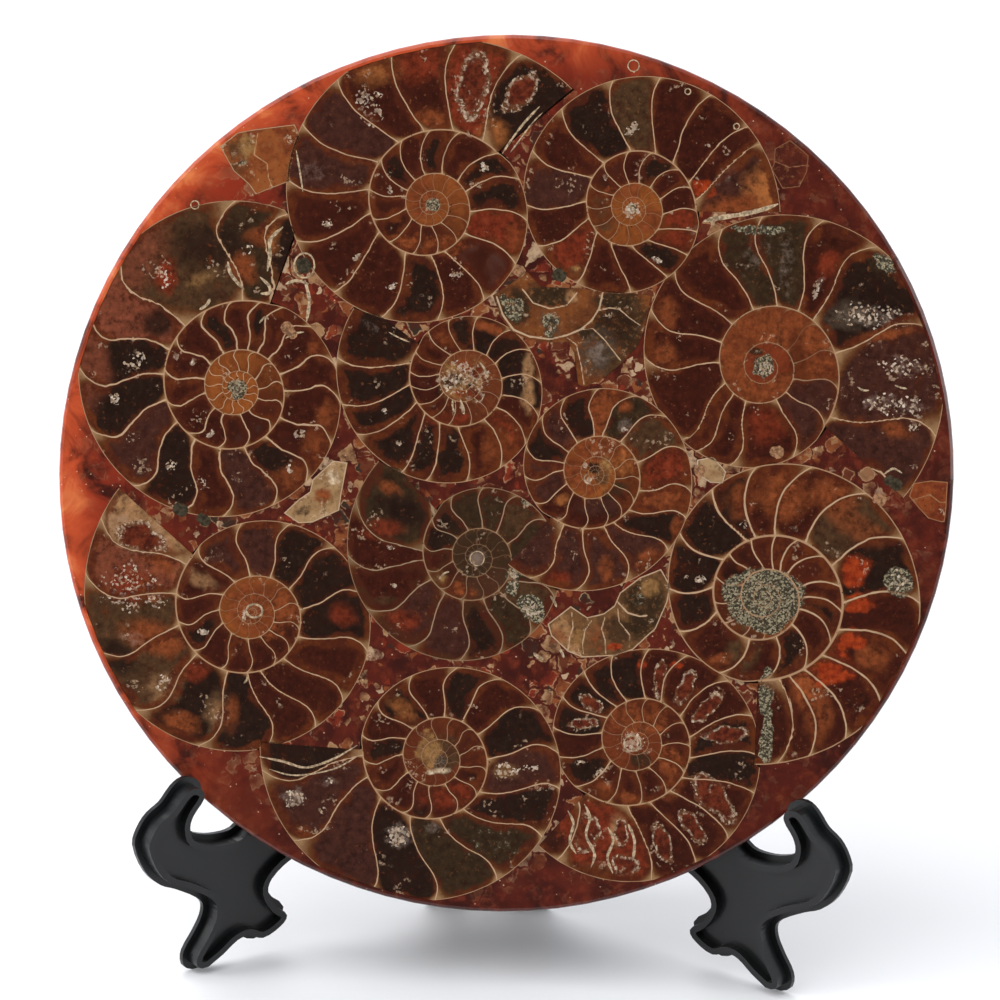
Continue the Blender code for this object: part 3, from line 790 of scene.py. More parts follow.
# Above the middle: a spongy golden heart.
ammonite(
    "ammonite_centre_top", centre=(-4.5, 9.2), first=-180, end=214, start=-1280,
    radii=(5.4, 6.1, 7.3, 9.7, 12.3, 13.1),
    finish=dict(seed=41.0, heart=(0.14, 0.036, 0.012)),
    septa=((188, 8), (167, 7), (152, 2), (123, 16), (109, 10), (87, 9), (66, -5), (44, -6), (24, -6),
        (0, -6), (-27, -4), (-49, -2), (-80, 6), (-106, 7), (-128, 8), (-151, 4), (-172, 5), (-187, -3),
        (-208, -2), (-230, 2), (-251, 4)),
    looks="dark dark dark dark dark dark maroon red maroon dark dark dark dark dark maroon maroon maroon "
        "maroon dark maroon maroon",
    tints=(("gold", -4.6, 9.3, 2.3, 2.1, 0.8), ("dark", -5.6, 9.2, 0.9, 0.8, 0.9),
        ("dark", -3.9, 8.6, 0.5, 0.4, 1, 20), ("dark", -4.9, 10.5, 0.5, 0.35, 1, -30),
        ("orange", -4.5, 10.7, 1.1, 0.6, 1.1, -30), ("orange", -4.8, 8, 0.8, 0.5),
        ("tan", 1.7, 10.1, 0.5, 2.3), ("tan", 1.8, 7.7, 0.6, 1.3),
        ("orange", -2.3, 14.5, 2.1, 0.5, 1, -20), ("orange", -7, 13.3, 1.3, 0.6, 0.8, 20),
        ("maroon", -8, 8.4, 1.2, 2.2), ("red", -5.9, 5.4, 2.5, 0.6, 0.8),
        ("orange", -1.1, 2.8, 1.5, 1.6, 0.7)),
    hollow=((-3.3, 10.1, 0.8, 0.6, 0.8, 20), (-3.5, 8, 0.9, 0.7, 0.8, -30)),
    mist=((-13.4, 13.9, 1.8, 0.5, 0.5, -30),),
    fleck=((-5.4, 9.3, 1.8, 1.7, 0.62), (-3.3, 9.5, 1.1, 1.3, 0.66), (-5.5, 6.2, 0.2, 0.5),
        (-4.6, 6.5, 0.2, 0.6, 1, 20), (-12.2, 6.1, 0.3, 0.4, 0.7), (-10.7, 2.9, 0.4, 0.3, 0.8)))

# Lower right: the largest coil, with a granular heart and a double outer wall.
ammonite(
    "ammonite_lower_right", centre=(25.8, -11.0), first=-90, end=450, start=-1140,
    radii=(6.1, 7.7, 8.2, 9.2, 12.9, 15.1, 16.3),
    finish=dict(seed=53.0, septum_width=0.10, wall_width=0.12),
    septa=((443, -6), (432, -2), (418, 1), (401, 2), (381, 0), (360, 2), (335, -2), (312, -8), (288, -11),
        (264, -5), (242, 9), (216, 5), (184, 6), (157, 5), (119, -11), (87, -16), (59, -16), (32, -16),
        (9, -10), (-10, -7), (-37, -11), (-62, 0), (-82, 8), (-105, 14), (-131, 16)),
    looks="maroon maroon maroon maroon maroon maroon dark olive maroon maroon dark dark dark dark maroon "
        "maroon dark maroon dark maroon",
    tints=(("olive", 24.1, -16.1, 1.5, 2.1, 1.3, -10), ("orange", 36.6, -16.4, 1.7, 1.3, 0.9, -30),
        ("orange", 30.3, -19.5, 1.5, 2.5, 1.3), ("orange", 31.6, -22.8, 1.3, 2.3, 0.8),
        ("orange", 27.2, -0.7, 2.3, 2.4), ("orange", 32.1, -0.7, 2.1, 1.7, 0.9, -20),
        ("orange", 34.7, -3.8, 3, 1.2, 0.6, -25), ("orange", 23.1, -1.4, 1.3, 1.5, 0.8),
        ("orange", 21.7, -17.3, 1.1, 0.6, 0.9, 20)),
    glow=((34.7, -8.1, 1.4, 1.6, 1.1), (34.9, -11.3, 1.7, 1, 1.1), (34.1, -14.8, 1.8, 1.1, 1.2),
        (32.7, -17.7, 2.1, 1.7, 1.3)),
    grain=((25.8, -11.1, 3.6, 2.9, 1.5), (26.4, -20.2, 0.7, 2.2, 1.4, -3), (26.7, -24.4, 0.5, 3, 1.4),
        (39, -8.9, 1.4, 1.6, 1.1)),
    fleck=((23.6, -3.8, 0.6, 0.5, 0.6), (19.4, -9.5, 0.6, 0.4, 0.8), (18, -9.3, 0.3, 0.3, 0.8),
        (39, -8.7, 1, 1.2, 0.5)))

# Bottom left: a long last arm runs out below the rim's curve.
ammonite(
    "ammonite_bottom_left", centre=(-5.8, -28.1), first=180, end=542, start=-1040, wave=2.0,
    radii=(7.3, 8.7, 11.9, 13.9, 17.2, 18.0),
    finish=dict(seed=61.0, heart=(0.10, 0.022, 0.008)),
    septa=((534, 6), (508, 15), (474, 29), (449, 24), (422, 24), (395, 26), (372, 24), (356, 3),
        (333, -6), (307, -5), (281, -3), (251, 5), (222, 6), (195, 16), (177, 8), (152, -1), (120, 8),
        (99, 5), (69, 2)),
    looks="dark violet violet dark green green dark violet dark maroon dark maroon dark maroon dark "
        "maroon maroon dark maroon",
    tints=(("orange", -19, -36, 1, 0.8, 0.9), ("red", -4.5, -31.8, 3, 1.1, 0.9, 10),
        ("amber", -9.4, -23.3, 1.8, 0.8, 0.6, -40), ("olive", -4.9, -27.8, 1.4, 1.8, 1.2),
        ("gold", -6.7, -27.3, 1, 1.9, 1.2), ("grey", -5.5, -28.4, 0.6, 0.6, 1.4),
        ("cream", -5.7, -29.4, 1.1, 0.3, 0.8, 10), ("gold", 1, -29.1, 1.2, 0.7, 0.5)),
    mist=((-19.8, -32.6, 1.2, 1, 0.75, 20), (-16.6, -30.8, 1.1, 0.7, 0.6, -20),
        (-9.3, -35.7, 1.4, 1.3, 0.75, 20), (-5.8, -34.9, 0.9, 0.9, 0.6)),
    grain=((-0.3, -35.9, 4.6, 2.2, 0.40, -20),),
    fleck=((1, -29.1, 1.2, 0.8, 0.7), (3.3, -28.8, 1.2, 0.5, 0.5), (-19.7, -32.7, 1, 0.8, 0.7, 20),
        (-9.3, -35.8, 1.2, 1, 0.7, 20), (-16.4, -30.9, 0.6, 0.5, 0.5), (-16.9, -33.8, 0.3, 0.4, 0.8)))

# Bottom right: its chambers hold bright crystal-lined hollows.
ammonite(
    "ammonite_bottom_right", centre=(13.9, -25.7), first=90, end=490, start=-1040,
    radii=(6.3, 8.1, 8.9, 11.8, 13.7, 14.0),
    finish=dict(seed=71.0, heart=(0.13, 0.028, 0.009)),
    septa=((442, 14), (422, 14), (405, 9), (382, 15), (365, 11), (345, 8), (324, 3), (298, -1), (275, 3),
        (252, 1), (231, 7), (209, 7), (188, 4), (169, 0), (142, 0)),
    looks="red maroon maroon maroon dark dark maroon maroon maroon dark dark dark dark maroon dark "
        "maroon maroon",
    tints=(("orange", 13.8, -23.7, 3.1, 1.5), ("orange", 17.3, -28.5, 1.3, 2.5),
        ("orange", 12.5, -31, 2.5, 0.7, 1, -20), ("maroon", 14.4, -29.4, 2.5, 1.1, 0.9),
        ("green", 14.3, -27.5, 1.1, 0.7), ("tan", 12.3, -34.6, 0.8, 1.5, 0.8),
        ("olive", 9.5, -38.9, 2.5, 1, 0.9), ("red", 8.6, -34.8, 2, 3.3)),
    hollow=((9.2, -22.1, 1.4, 0.6, 1, -28), (8.5, -24.1, 1.5, 0.5, 1, 8), (15.9, -19.5, 0.6, 1.8),
        (18.4, -20.2, 1.8, 0.7, 1, 68), (20.6, -22.1, 2, 0.6, 1, 48), (22.6, -24.7, 2.1, 0.7, 1, 8),
        (21.7, -31.1, 3, 1.2, 1, -42), (19.7, -33.9, 1.8, 0.8, 1, -52), (16.8, -35.8, 2.1, 0.8, 1, -68),
        (9.2, -34.9, 1.1, 1.9), (13, -38.1, 1.2, 1.1), (12.7, -34.8, 0.7, 1.3, 1, 10)),
    glow=((13.9, -18.1, 0.5, 0.5, 0.9), (17.4, -18, 0.7, 0.4, 0.9)),
    fleck=((13.4, -25.9, 1, 1, 0.9), (10.5, -28.9, 0.8, 0.5, 0.7, 20), (8.3, -28, 0.7, 0.3, 0.6)))

# Left: thick wavy septa, green-black outer chambers at the top.
ammonite(
    "ammonite_left", centre=(-26.8, 7.6), first=-360, end=288, start=-1460, wave=3.0,
    radii=(4.6, 5.9, 7.1, 8.6, 9.9, 12.3, 15.2, 18.1, 14.0),
    finish=dict(seed=83.0, wobble=0.75, septum_width=0.085, inner_septa=0.8),
    septa=((285, 4), (268, 4), (228, 0), (206, 3), (186, 3), (162, 7), (135, 14), (112, 15), (95, 9),
        (71, 9), (51, 5), (29, 3), (6, -7), (-17, -3), (-42, -4), (-62, 2), (-76, 2), (-96, 7), (-114, 2),
        (-141, 3), (-167, 1), (-192, 0), (-225, 0), (-254, 10), (-280, 1), (-310, 8), (-340, 6)),
    looks="dark green olive rose dark dark violet dark maroon violet dark maroon maroon maroon maroon "
        "maroon dark maroon dark maroon maroon maroon maroon maroon",
    tints=(("rose", -37.6, 19.3, 2.2, 5.2, 0.75, -35), ("rose", -41, 9.8, 1.6, 4.6, 0.8),
        ("dark", -29.9, 21.5, 3.4, 2.2, 0.8), ("dark", -34.4, 13.9, 1.8, 1.3, 0.9, 25),
        ("dark", -36.4, 9.2, 2, 1.2, 0.8), ("orange", -26.6, 19.4, 1.3, 1.3),
        ("orange", -25, 22.7, 1.3, 0.9), ("amber", -23.8, 22.8, 0.6, 1.7, 0.9),
        ("red", -34.1, 18.2, 1.1, 1.5, 1.2), ("gold", -30.6, 18.2, 1.5, 0.6, 0.5, 30),
        ("orange", -20.9, -0.7, 2.3, 1.2, 0.7, 20), ("orange", -18.7, 2.1, 1.5, 1.6, 0.7),
        ("orange", -18, 5.4, 1, 1.3, 0.8), ("orange", -18.7, 11.6, 1.3, 1, 0.8, -30)),
    grain=((-26.7, 7.6, 0.9, 0.9, 1.2),),
    fleck=((-36.9, 9.9, 1.5, 0.9, 0.45, 20), (-34.1, 18.2, 1, 1.3, 0.5), (-26.2, 21.2, 0.6, 0.8, 0.5),
        (-32.8, 10.5, 0.3, 0.4), (-31.2, 10.1, 0.3, 0.4), (-29.2, 3.1, 0.5, 0.3, 1, 30),
        (-32.9, -0.1, 0.6, 0.6, 0.6), (-21.3, -0.1, 0.5, 0.5, 0.6), (-20.4, 3.3, 0.6, 0.5, 0.6),
        (-38.7, 6.1, 0.6, 0.8, 0.5), (-36.9, 2.5, 0.7, 0.6, 0.5), (-29.9, -1.8, 0.9, 0.7, 0.5)))

# Left of the middle: the smallest, grey inside.
ammonite(
    "ammonite_centre_left", centre=(-2.7, -8.1), first=-270, end=225, start=-1360, wave=2.0,
    radii=(4.2, 5.2, 6.6, 8.0, 9.9, 12.4, 14.0),
    finish=dict(seed=97.0, heart=(0.055, 0.034, 0.017), amber=(0.10, 0.036, 0.013),
        septum=(0.27, 0.18, 0.11), wall=(0.24, 0.145, 0.08)),
    septa=((204, -20), (179, -4), (153, -1), (125, 4), (97, 8), (75, 3), (53, 1)),
    looks="green maroon maroon violet violet dark green olive green green olive green green dark dark "
        "maroon maroon",
    tints=(("orange", -11.5, -1.5, 1.2, 0.6, 0.8, -20), ("red", -12.1, -5.7, 2, 0.9, 0.8, 10),
        ("dark", -10.2, -3.7, 2.5, 1.2, 1, -15), ("olive", -11.6, -12.7, 1.2, 0.4, 0.8, 10),
        ("red", -9.8, -14.8, 1.5, 1.1, 0.9), ("green", -2.1, -7.7, 3.6, 3.3, 0.8),
        ("dark", -2.7, -8.1, 0.3, 0.3, 1.2), ("gold", -6.3, -10.3, 1, 0.6, 1, -35),
        ("orange", -4.5, -11.4, 1.9, 0.7, 0.8, -10)),
    mist=((-2.6, -8.2, 0.8, 0.8, 1.2),),
    grain=((1, -10.2, 0.6, 1.6, 1.1), (2.9, -13, 1.6, 1, 1.1, -40), (2.2, -2.4, 0.9, 0.5, 1, -25)),
    fleck=((-11.2, -7.4, 0.4, 0.3), (-10.7, -11.1, 0.3, 0.3), (1, -10.2, 0.4, 1.3, 0.6),
        (2.9, -13, 1.2, 0.8, 0.6, -40)))

# Lower left: ground away by the rim on its left.
ammonite(
    "ammonite_lower_left", centre=(-24.5, -14.3), first=-180, end=580, start=-1220, wave=2.0,
    radii=(3.2, 3.5, 4.7, 6.0, 7.5, 8.7, 11.3, 13.5, 16.2, 19.5),
    finish=dict(seed=101.0),
    septa=((570, 4), (551, 0), (525, 2), (498, 3), (470, 1), (442, 10), (419, 21), (403, 11), (377, 9),
        (350, 5), (320, 6), (292, 4), (261, 4), (228, 9), (191, 18), (170, 12), (145, 12), (117, 15),
        (93, 4), (66, 3), (46, -2)),
    looks="tan rose olive olive dark dark maroon maroon maroon dark dark dark violet violet maroon "
        "maroon dark maroon maroon maroon",
    tints=(("orange", -33.5, -9.4, 1.1, 1.7, 0.9, 20), ("red", -36.4, -12.2, 2, 1.6),
        ("orange", -34.6, -12.6, 1, 1, 0.8, 20), ("orange", -34.4, -17.1, 2.6, 1.6, 0.9, -15),
        ("dark", -37.6, -19.2, 2, 1.3, 0.9, -40), ("orange", -32.3, -18, 1.3, 1, 0.9),
        ("tan", -33, -22.2, 1.7, 1.3, 0.5), ("red", -30.1, -20.1, 1.5, 1.1, 0.8),
        ("orange", -31.1, -25.5, 1.7, 1.1, 1, -20), ("tan", -27.6, -24.5, 1.1, 1.7, 0.6),
        ("orange", -26.3, -24.4, 0.7, 1.7, 0.7), ("orange", -23.9, -13.9, 3.4, 2.8, 1.1),
        ("red", -15.5, -14.3, 1.3, 1.1, 0.8), ("tan", -30.1, -11.2, 1.9, 0.8, 0.6, -20)),
    hollow=((-35.6, -7.4, 2.3, 1.3, 1, -20),),
    mist=((-36.5, -7.1, 3.9, 2, 0.5, -15), (-35.9, -17.5, 1.8, 0.9, 0.5, -15)),
    grain=((-31.3, -6.8, 1.4, 0.7, 0.9, -45),),
    fleck=((-36.6, -12.4, 3.4, 2.4, 0.42), (-25.3, -14.7, 0.2, 0.8), (-29.3, -16.4, 0.5, 0.4),
        (-27.4, -24.8, 0.5, 0.7, 0.6), (-32.9, -21.5, 1.1, 0.9, 0.5), (-34.1, -13.5, 1.1, 0.7, 0.6)))

# Right: a plain orange-brown inner coil and misty outer chambers.
ammonite(
    "ammonite_right", centre=(24.8, 11.7), first=-180, end=400, start=-1280, wave=2.0,
    radii=(4.3, 5.9, 7.3, 9.6, 11.5, 14.6, 17.4, 20.0),
    finish=dict(seed=113.0, heart=(0.16, 0.029, 0.009), orange_below=4.6, inner_septa=0.0),
    septa=((403, 10), (380, 15), (347, 0), (311, 3), (290, 9), (267, 12), (251, 6), (226, 5), (205, 3),
        (183, 0), (136, 19), (127, 10), (107, 9), (70, -3)),
    looks="maroon violet violet dark maroon green green maroon maroon maroon maroon maroon maroon maroon "
        "violet violet orange" + 12 * " orange",
    tints=(("green", 24, 13.2, 0.7, 0.4), ("maroon", 28.1, 12.4, 0.9, 2.9, 0.6, 10),
        ("red", 30.6, 22, 0.8, 1.3, 1, -25), ("green", 36.2, 22.6, 2.3, 1.4, 1.2, -40),
        ("grey", 32.8, 17, 2.2, 1.2, 0.9), ("orange", 36.7, 15.4, 2.7, 0.5, 1, 10),
        ("orange", 37.9, 6.1, 1.6, 0.7, 0.9, -20), ("orange", 14.9, 16.5, 1.2, 1.4, 0.8),
        ("orange", 14.9, 12.3, 1.2, 1.4, 0.8), ("red", 25.3, 6.1, 2, 1.8, 0.8)),
    mist=((23.2, 22.7, 1.4, 2.2, 0.4, -40), (26.5, 21.8, 0.9, 3.7, 0.45),
        (29.7, 19.6, 0.4, 1.6, 0.5, -20), (35, 17, 3.6, 1.2, 0.55), (38.6, 12.4, 2.3, 1.1, 0.5, -10),
        (37.4, 8.5, 3.5, 1, 0.55, -5)),
    grain=((24.7, 11.8, 1.1, 1), (23.5, 25.1, 2.9, 0.5, 0.9), (36.2, 22.4, 1.6, 0.8, 0.8, -40)),
    fleck=((25, 11.5, 0.8, 0.7, 0.7), (35.4, 17.1, 4.5, 1.3, 0.45), (38.4, 12.3, 3, 1.2, 0.42),
        (37.6, 8.5, 3.3, 1.2, 0.48, -5), (40, 6.6, 0.8, 1, 0.6), (29.6, 19.6, 0.3, 1.2, 0.8, -15)))


# ---- The broken pieces and chips ---------------------------------------------------------
# Pieces of two more ammonites and five chips of shell fill gaps between the coils.  Each
# takes its outline from the solid, and its septa and rims are lines drawn in the calcite.

FINE_CELL = 0.13                # spacing of the faces that carry a chip's lines
LINE_WIDTH = 0.055
CORNER_LIMIT = 0.6              # sharper corners are moved out less than their full mitre


def line_distance(lines, x, y):
    """Distance to the nearest drawn line, less the extra half-width of that line."""
    point = Vector((x, y))
    nearest = 9.0
    for width, line in lines:
        for start, finish in zip(line, line[1:]):
            start, along = Vector(start), Vector(finish) - Vector(start)
            part = min(max((point - start).dot(along) / along.length_squared, 0), 1)
            nearest = min(nearest, (start + along * part - point).length - width)
    return nearest


def chip_finish(name, base, other, line=(0.42, 0.28, 0.17), rarity=0.60):
    material, where = new_finish(name.replace("shell_", ""), **POLISH)
    cloud = where.noise(2.2, 4, 0.6, warp=0.6)
    laid = where.add("ShaderNodeGroup", {"Where": where, "Colour": mix(
        step(cloud, 0.35, 0.65), base, other)}, node_tree=overlay)
    fine = where.noise(0.5, 4, 0.7)
    colour = mix(step(fine, 0.52, 0.7) * 0.6, laid["Colour"], (0.20, 0.085, 0.032))
    colour = mix((1.0 - step(fine, 0.3, 0.46)) * 0.6, colour, (0.022, 0.010, 0.006))
    # pale crystal shards, partly painted sparkle
    colour = mix(shard_and_sparkle_mask(where, 0.4, 1.8, rarity) * 0.6, colour, (0.44, 0.30, 0.19))
    drawn = where.add("ShaderNodeAttribute", attribute_name="line", out="Fac")
    drawn = drawn + (where.noise(0.6) - 0.5) * 0.1
    colour = mix((1.0 - step(drawn, LINE_WIDTH * 0.6, LINE_WIDTH * 1.5)) * 0.92, colour, line)
    return cover(material, Base_Color=colour, Roughness=mix(laid["Grainy"], 0.3, 0.5))


def chip(name, slot, finish, lines=(), rim=0.0, tints=(), **fills):
    """A flat chip with the solid's outline, cut into fine cells that carry its pattern."""
    patches = in_full(tints, fills)
    solid = bmesh.new()
    solid.from_mesh(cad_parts[name].data)
    solid.transform(PLATE_MM.inverted())
    solid.normal_update()
    sides = [f for f in solid.faces if f.normal.z < 0.9 or f.calc_center_median().z < -0.1]
    bmesh.ops.delete(solid, geom=sides, context="FACES")
    bmesh.ops.remove_doubles(solid, verts=solid.verts, dist=MERGE / 2)
    bmesh.ops.dissolve_limit(solid, angle_limit=radians(1), verts=solid.verts,
                             edges=solid.edges)
    moved = {}
    for vert in solid.verts:
        outs = []
        for edge in vert.link_edges:
            if edge.is_boundary:
                loop = edge.link_loops[0]
                along = (loop.link_loop_next.vert.co - loop.vert.co).normalized()
                outs.append(along.cross(Vector((0, 0, 1))))
        middle = (outs[0] + outs[1]).normalized()
        moved[vert] = vert.co + middle * (SNUG / max(middle.dot(outs[0]), CORNER_LIMIT))
    for vert, place in moved.items():
        vert.co = place
    if rim:
        outline = [vert.co.xy.copy() for face in solid.faces for vert in face.verts]
        lines = (*lines, (rim, [*outline, outline[0]]))
    for axis in (Vector((1, 0, 0)), Vector((0, 1, 0))):
        reach = [vert.co.dot(axis) for vert in solid.verts]
        for cut in range(1, floor((max(reach) - min(reach)) / FINE_CELL) + 1):
            bmesh.ops.bisect_plane(
                solid, geom=solid.verts[:] + solid.edges[:] + solid.faces[:], dist=0.0001,
                plane_co=axis * (min(reach) + cut * FINE_CELL), plane_no=axis)
    line = solid.verts.layers.float.new("line")
    layers = colour_layers(solid)
    for vert in solid.verts:
        vert.co.z = 0.0
        vert[line] = line_distance(lines, vert.co.x, vert.co.y)
        paint(layers, vert, vert.co.x, vert.co.y, patches)
    set_flush(name, solid, chip_finish(name, *finish))


chip("ammonite_fragment_top", "ammonite_calcite", finish=((0.085, 0.026, 0.009), (0.15, 0.045, 0.012)),
    lines=((0.03, ((-1.7, 17.6), (-1.0, 15.8), (0.1, 14.4), (1.7, 13.8), (3.7, 13.6), (5.4, 14.1),
            (6.7, 14.7), (7.7, 15.6), (8.4, 16.8), (8.7, 18.4))),
        (0.01, ((0.8, 18.4), (1.0, 18.2), (1.9, 17.1), (3.6, 16.6), (5.2, 17.0), (6.2, 18.3))),
        (0, ((8.3, 16.6), (9.4, 16.9), (10.4, 16.8), (11.4, 16.0), (12.5, 15.3))),
        (0, ((6.7, 14.7), (7.9, 14.8), (9.1, 13.7), (10.7, 11.8))),
        (0, ((5.4, 13.8), (6.3, 13.2), (6.9, 11.0), (7.2, 9.3)))),
    tints=(("green", 3.6, 18, 2.3, 1.2), ("tan", 5.6, 17.9, 0.6, 0.6, 0.8),
        ("green", -0.2, 16.8, 1.9, 1.6, 1, -40), ("grey", 3.7, 15, 1, 1.5, 0.9),
        ("green", 10.2, 17.6, 2.4, 0.9), ("olive", 12.2, 16.3, 1, 1.2),
        ("green", 10.2, 15, 2.2, 1.7, 1, -30), ("dark", 10.2, 15, 1.9, 1.5, 0.7, -30),
        ("green", 12.2, 13.6, 1.2, 1.6), ("grey", 8.4, 12.4, 1.9, 2.4, 1, 20),
        ("olive", 10.2, 11.3, 1.2, 0.7, 1, 40), ("green", 7.6, 14.2, 1.4, 0.5, 1, -20)),
    mist=((12.4, 14.6, 0.7, 1.6, 0.4, -30), (8.3, 12.6, 0.8, 1.5, 0.85, 10)),
    grain=((-0.2, 16.6, 1.5, 1, 0.85, -50), (3.7, 15.1, 0.95, 1.7, 0.62)))

chip("ammonite_fragment_bottom", "ammonite_calcite", finish=((0.13, 0.060, 0.022), (0.08, 0.036, 0.015)),
    rim=0.05,
    lines=((0, ((6.7, -16.9), (6.8, -15.6), (7.1, -14.6), (6.9, -13.2))),
        (0, ((8.2, -17.2), (8.1, -16.2), (8.3, -14.8), (8.9, -13.9))),
        (0, ((10.4, -17.1), (10.3, -15.8), (9.9, -14.7), (10.2, -13.5))),
        (0, ((12.7, -16.4), (12.7, -15.2), (11.6, -13.9), (11.4, -12.6))),
        (0.02, ((11.4, -12.0), (12.4, -13.0), (13.6, -13.3), (14.3, -13.2)))),
    tints=(("tan", 6, -15.2, 1.1, 1.4), ("orange", 5.6, -15.6, 0.8, 0.8, 0.6),
        ("gold", 7.7, -15.5, 0.7, 1, 0.8, -20), ("tan", 7, -16.8, 1.6, 0.5, 0.9, -15),
        ("orange", 9.4, -15.4, 1, 1.3, 0.55), ("olive", 11.2, -14.9, 1.2, 1.6, 1, 20),
        ("green", 13.7, -14, 1.5, 1.8, 1, 20), ("green", 15.2, -12, 0.8, 2.2, 0.9),
        ("green", 13.4, -11.4, 1.6, 1.2), ("gold", 14.5, -10.4, 0.8, 0.8)),
    glow=((11.2, -16.4, 0.9, 0.4, 0.9, 10),),
    grain=((13.6, -11.6, 1.1, 0.9, 0.5),))

chip("shell_chip_amber", "shell_chip", finish=((0.22, 0.062, 0.016), (0.13, 0.028, 0.009),
        (0.34, 0.19, 0.09), 0.588), rim=0.02,
    lines=((0, ((-25.6, 32.6), (-25.9, 30.5), (-24.6, 29.7), (-24.4, 28.3), (-24.0, 27.4))),),
    tints=(("olive", -27.4, 30.4, 1.3, 1.9, 0.55, 20), ("gold", -26.5, 31.4, 0.8, 1.3, 0.9)),
    grain=((-27, 29.6, 0.8, 0.8, 0.5),))

chip("shell_chip_tan", "shell_chip", finish=((0.17, 0.085, 0.034), (0.30, 0.18, 0.085),
        (0.42, 0.28, 0.17), 0.552), rim=0.05,
    tints=(("orange", -18, -2.6, 0.9, 0.8, 0.8, 30), ("olive", -19.9, -4.2, 0.9, 0.6, 0.9, 20),
        ("cream", -16.9, -0.6, 0.6, 0.8, 0.7, 30)))

chip("shell_chip_oval", "shell_chip", finish=((0.05, 0.010, 0.006), (0.12, 0.022, 0.010),
        (0.20, 0.085, 0.040)), rim=0.02,
    lines=((0, ((24.8, 31.9), (26.4, 31.3), (28.2, 31.6))),))

chip("shell_chip_cream", "shell_chip", finish=((0.32, 0.20, 0.10), (0.22, 0.12, 0.055),
        (0.42, 0.30, 0.19)), rim=0.04)

chip("shell_chip_rim", "shell_chip", finish=((0.20, 0.045, 0.012), (0.12, 0.022, 0.008),
        (0.26, 0.12, 0.055)), rim=0.03,
    lines=((0, ((40.0, -0.8), (41.6, -0.2), (42.6, -0.9), (43.8, -1.0))),))


# ---- Slivers of shell ----------------------------------------------------------------------
# Bits of broken shell wall and the rims of cut bubbles show as thin cream lines, ground
# flush with the face.  They are flat slivers set in the calcite and the resin.

SLIVER_TOP = 0.013
SLIVER_FOOT = 0.003
STRETCH_STEPS = 7               # faces between two points of a stroke
RAGGED = 0.45                   # share by which a sliver's width wanders


def on_stroke(points, place):
    """The point a share of the way along a smooth line, and its direction there."""
    index = min(floor(place), len(points) - 2)
    part = place - index
    before, start = points[max(index - 1, 0)], points[index]
    finish, after = points[index + 1], points[min(index + 2, len(points) - 1)]
    spots, slopes = [], []
    for p0, p1, p2, p3 in zip(before, start, finish, after):
        bend, sharper = 2 * p0 - 5 * p1 + 4 * p2 - p3, 3 * p1 - p0 - 3 * p2 + p3
        spots.append(p1 + part * ((p2 - p0) + part * (bend + part * sharper)) / 2)
        slopes.append(((p2 - p0) + part * (2 * bend + part * 3 * sharper)) / 2)
    return Vector(spots), Vector(slopes).normalized()


def slivers(name, colour, strokes):
    """Each stroke is a half-width and the points that its middle runs through."""
    strips = bmesh.new()
    for half_width, points in strokes:
        closed = points[0] == points[-1]
        strip = bmesh.ops.create_grid(strips, size=1.0, y_segments=1,
                                      x_segments=STRETCH_STEPS * (len(points) - 1))["verts"]
        for vert in strip:
            part = (vert.co.x + 1) / 2
            middle, along = on_stroke(points, part * (len(points) - 1))
            ragged = 1 + RAGGED * noise.noise(Vector((middle.x * 2.1, middle.y * 2.1, half_width)))
            taper = 1 if closed else min(1, 0.25 + 4 * min(part, 1 - part))
            side = Vector((-along.y, along.x)) * vert.co.y * half_width * ragged * taper
            vert.co = (middle.x + side.x, middle.y + side.y, SLIVER_TOP)
    for item in bmesh.ops.extrude_face_region(strips, geom=strips.faces[:])["geom"]:
        if isinstance(item, bmesh.types.BMVert):
            item.co.z = SLIVER_FOOT
    bmesh.ops.recalc_face_normals(strips, faces=strips.faces)
    strips.transform(PLATE_MM)
    finish, where = new_finish(name, Roughness=0.35, Specular_IOR_Level=0.12, Coat_Weight=0.6,
                               Coat_Roughness=0.04)
    mottle = mix(step(where.noise(0.35, 3, 0.6), 0.35, 0.65), toned(colour, 0.35), colour)
    piece = new_piece(name, strips, cover(finish, Base_Color=mottle))
    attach(piece, "root")


def ring(x, y, radius, squash=1.0):
    """A closed stroke round the rim of a bubble."""
    turns = [2 * pi * corner / 10 for corner in range(10)]
    return [*((x + radius * cos(turn), y + radius * squash * sin(turn)) for turn in turns),
            (x + radius, y)]


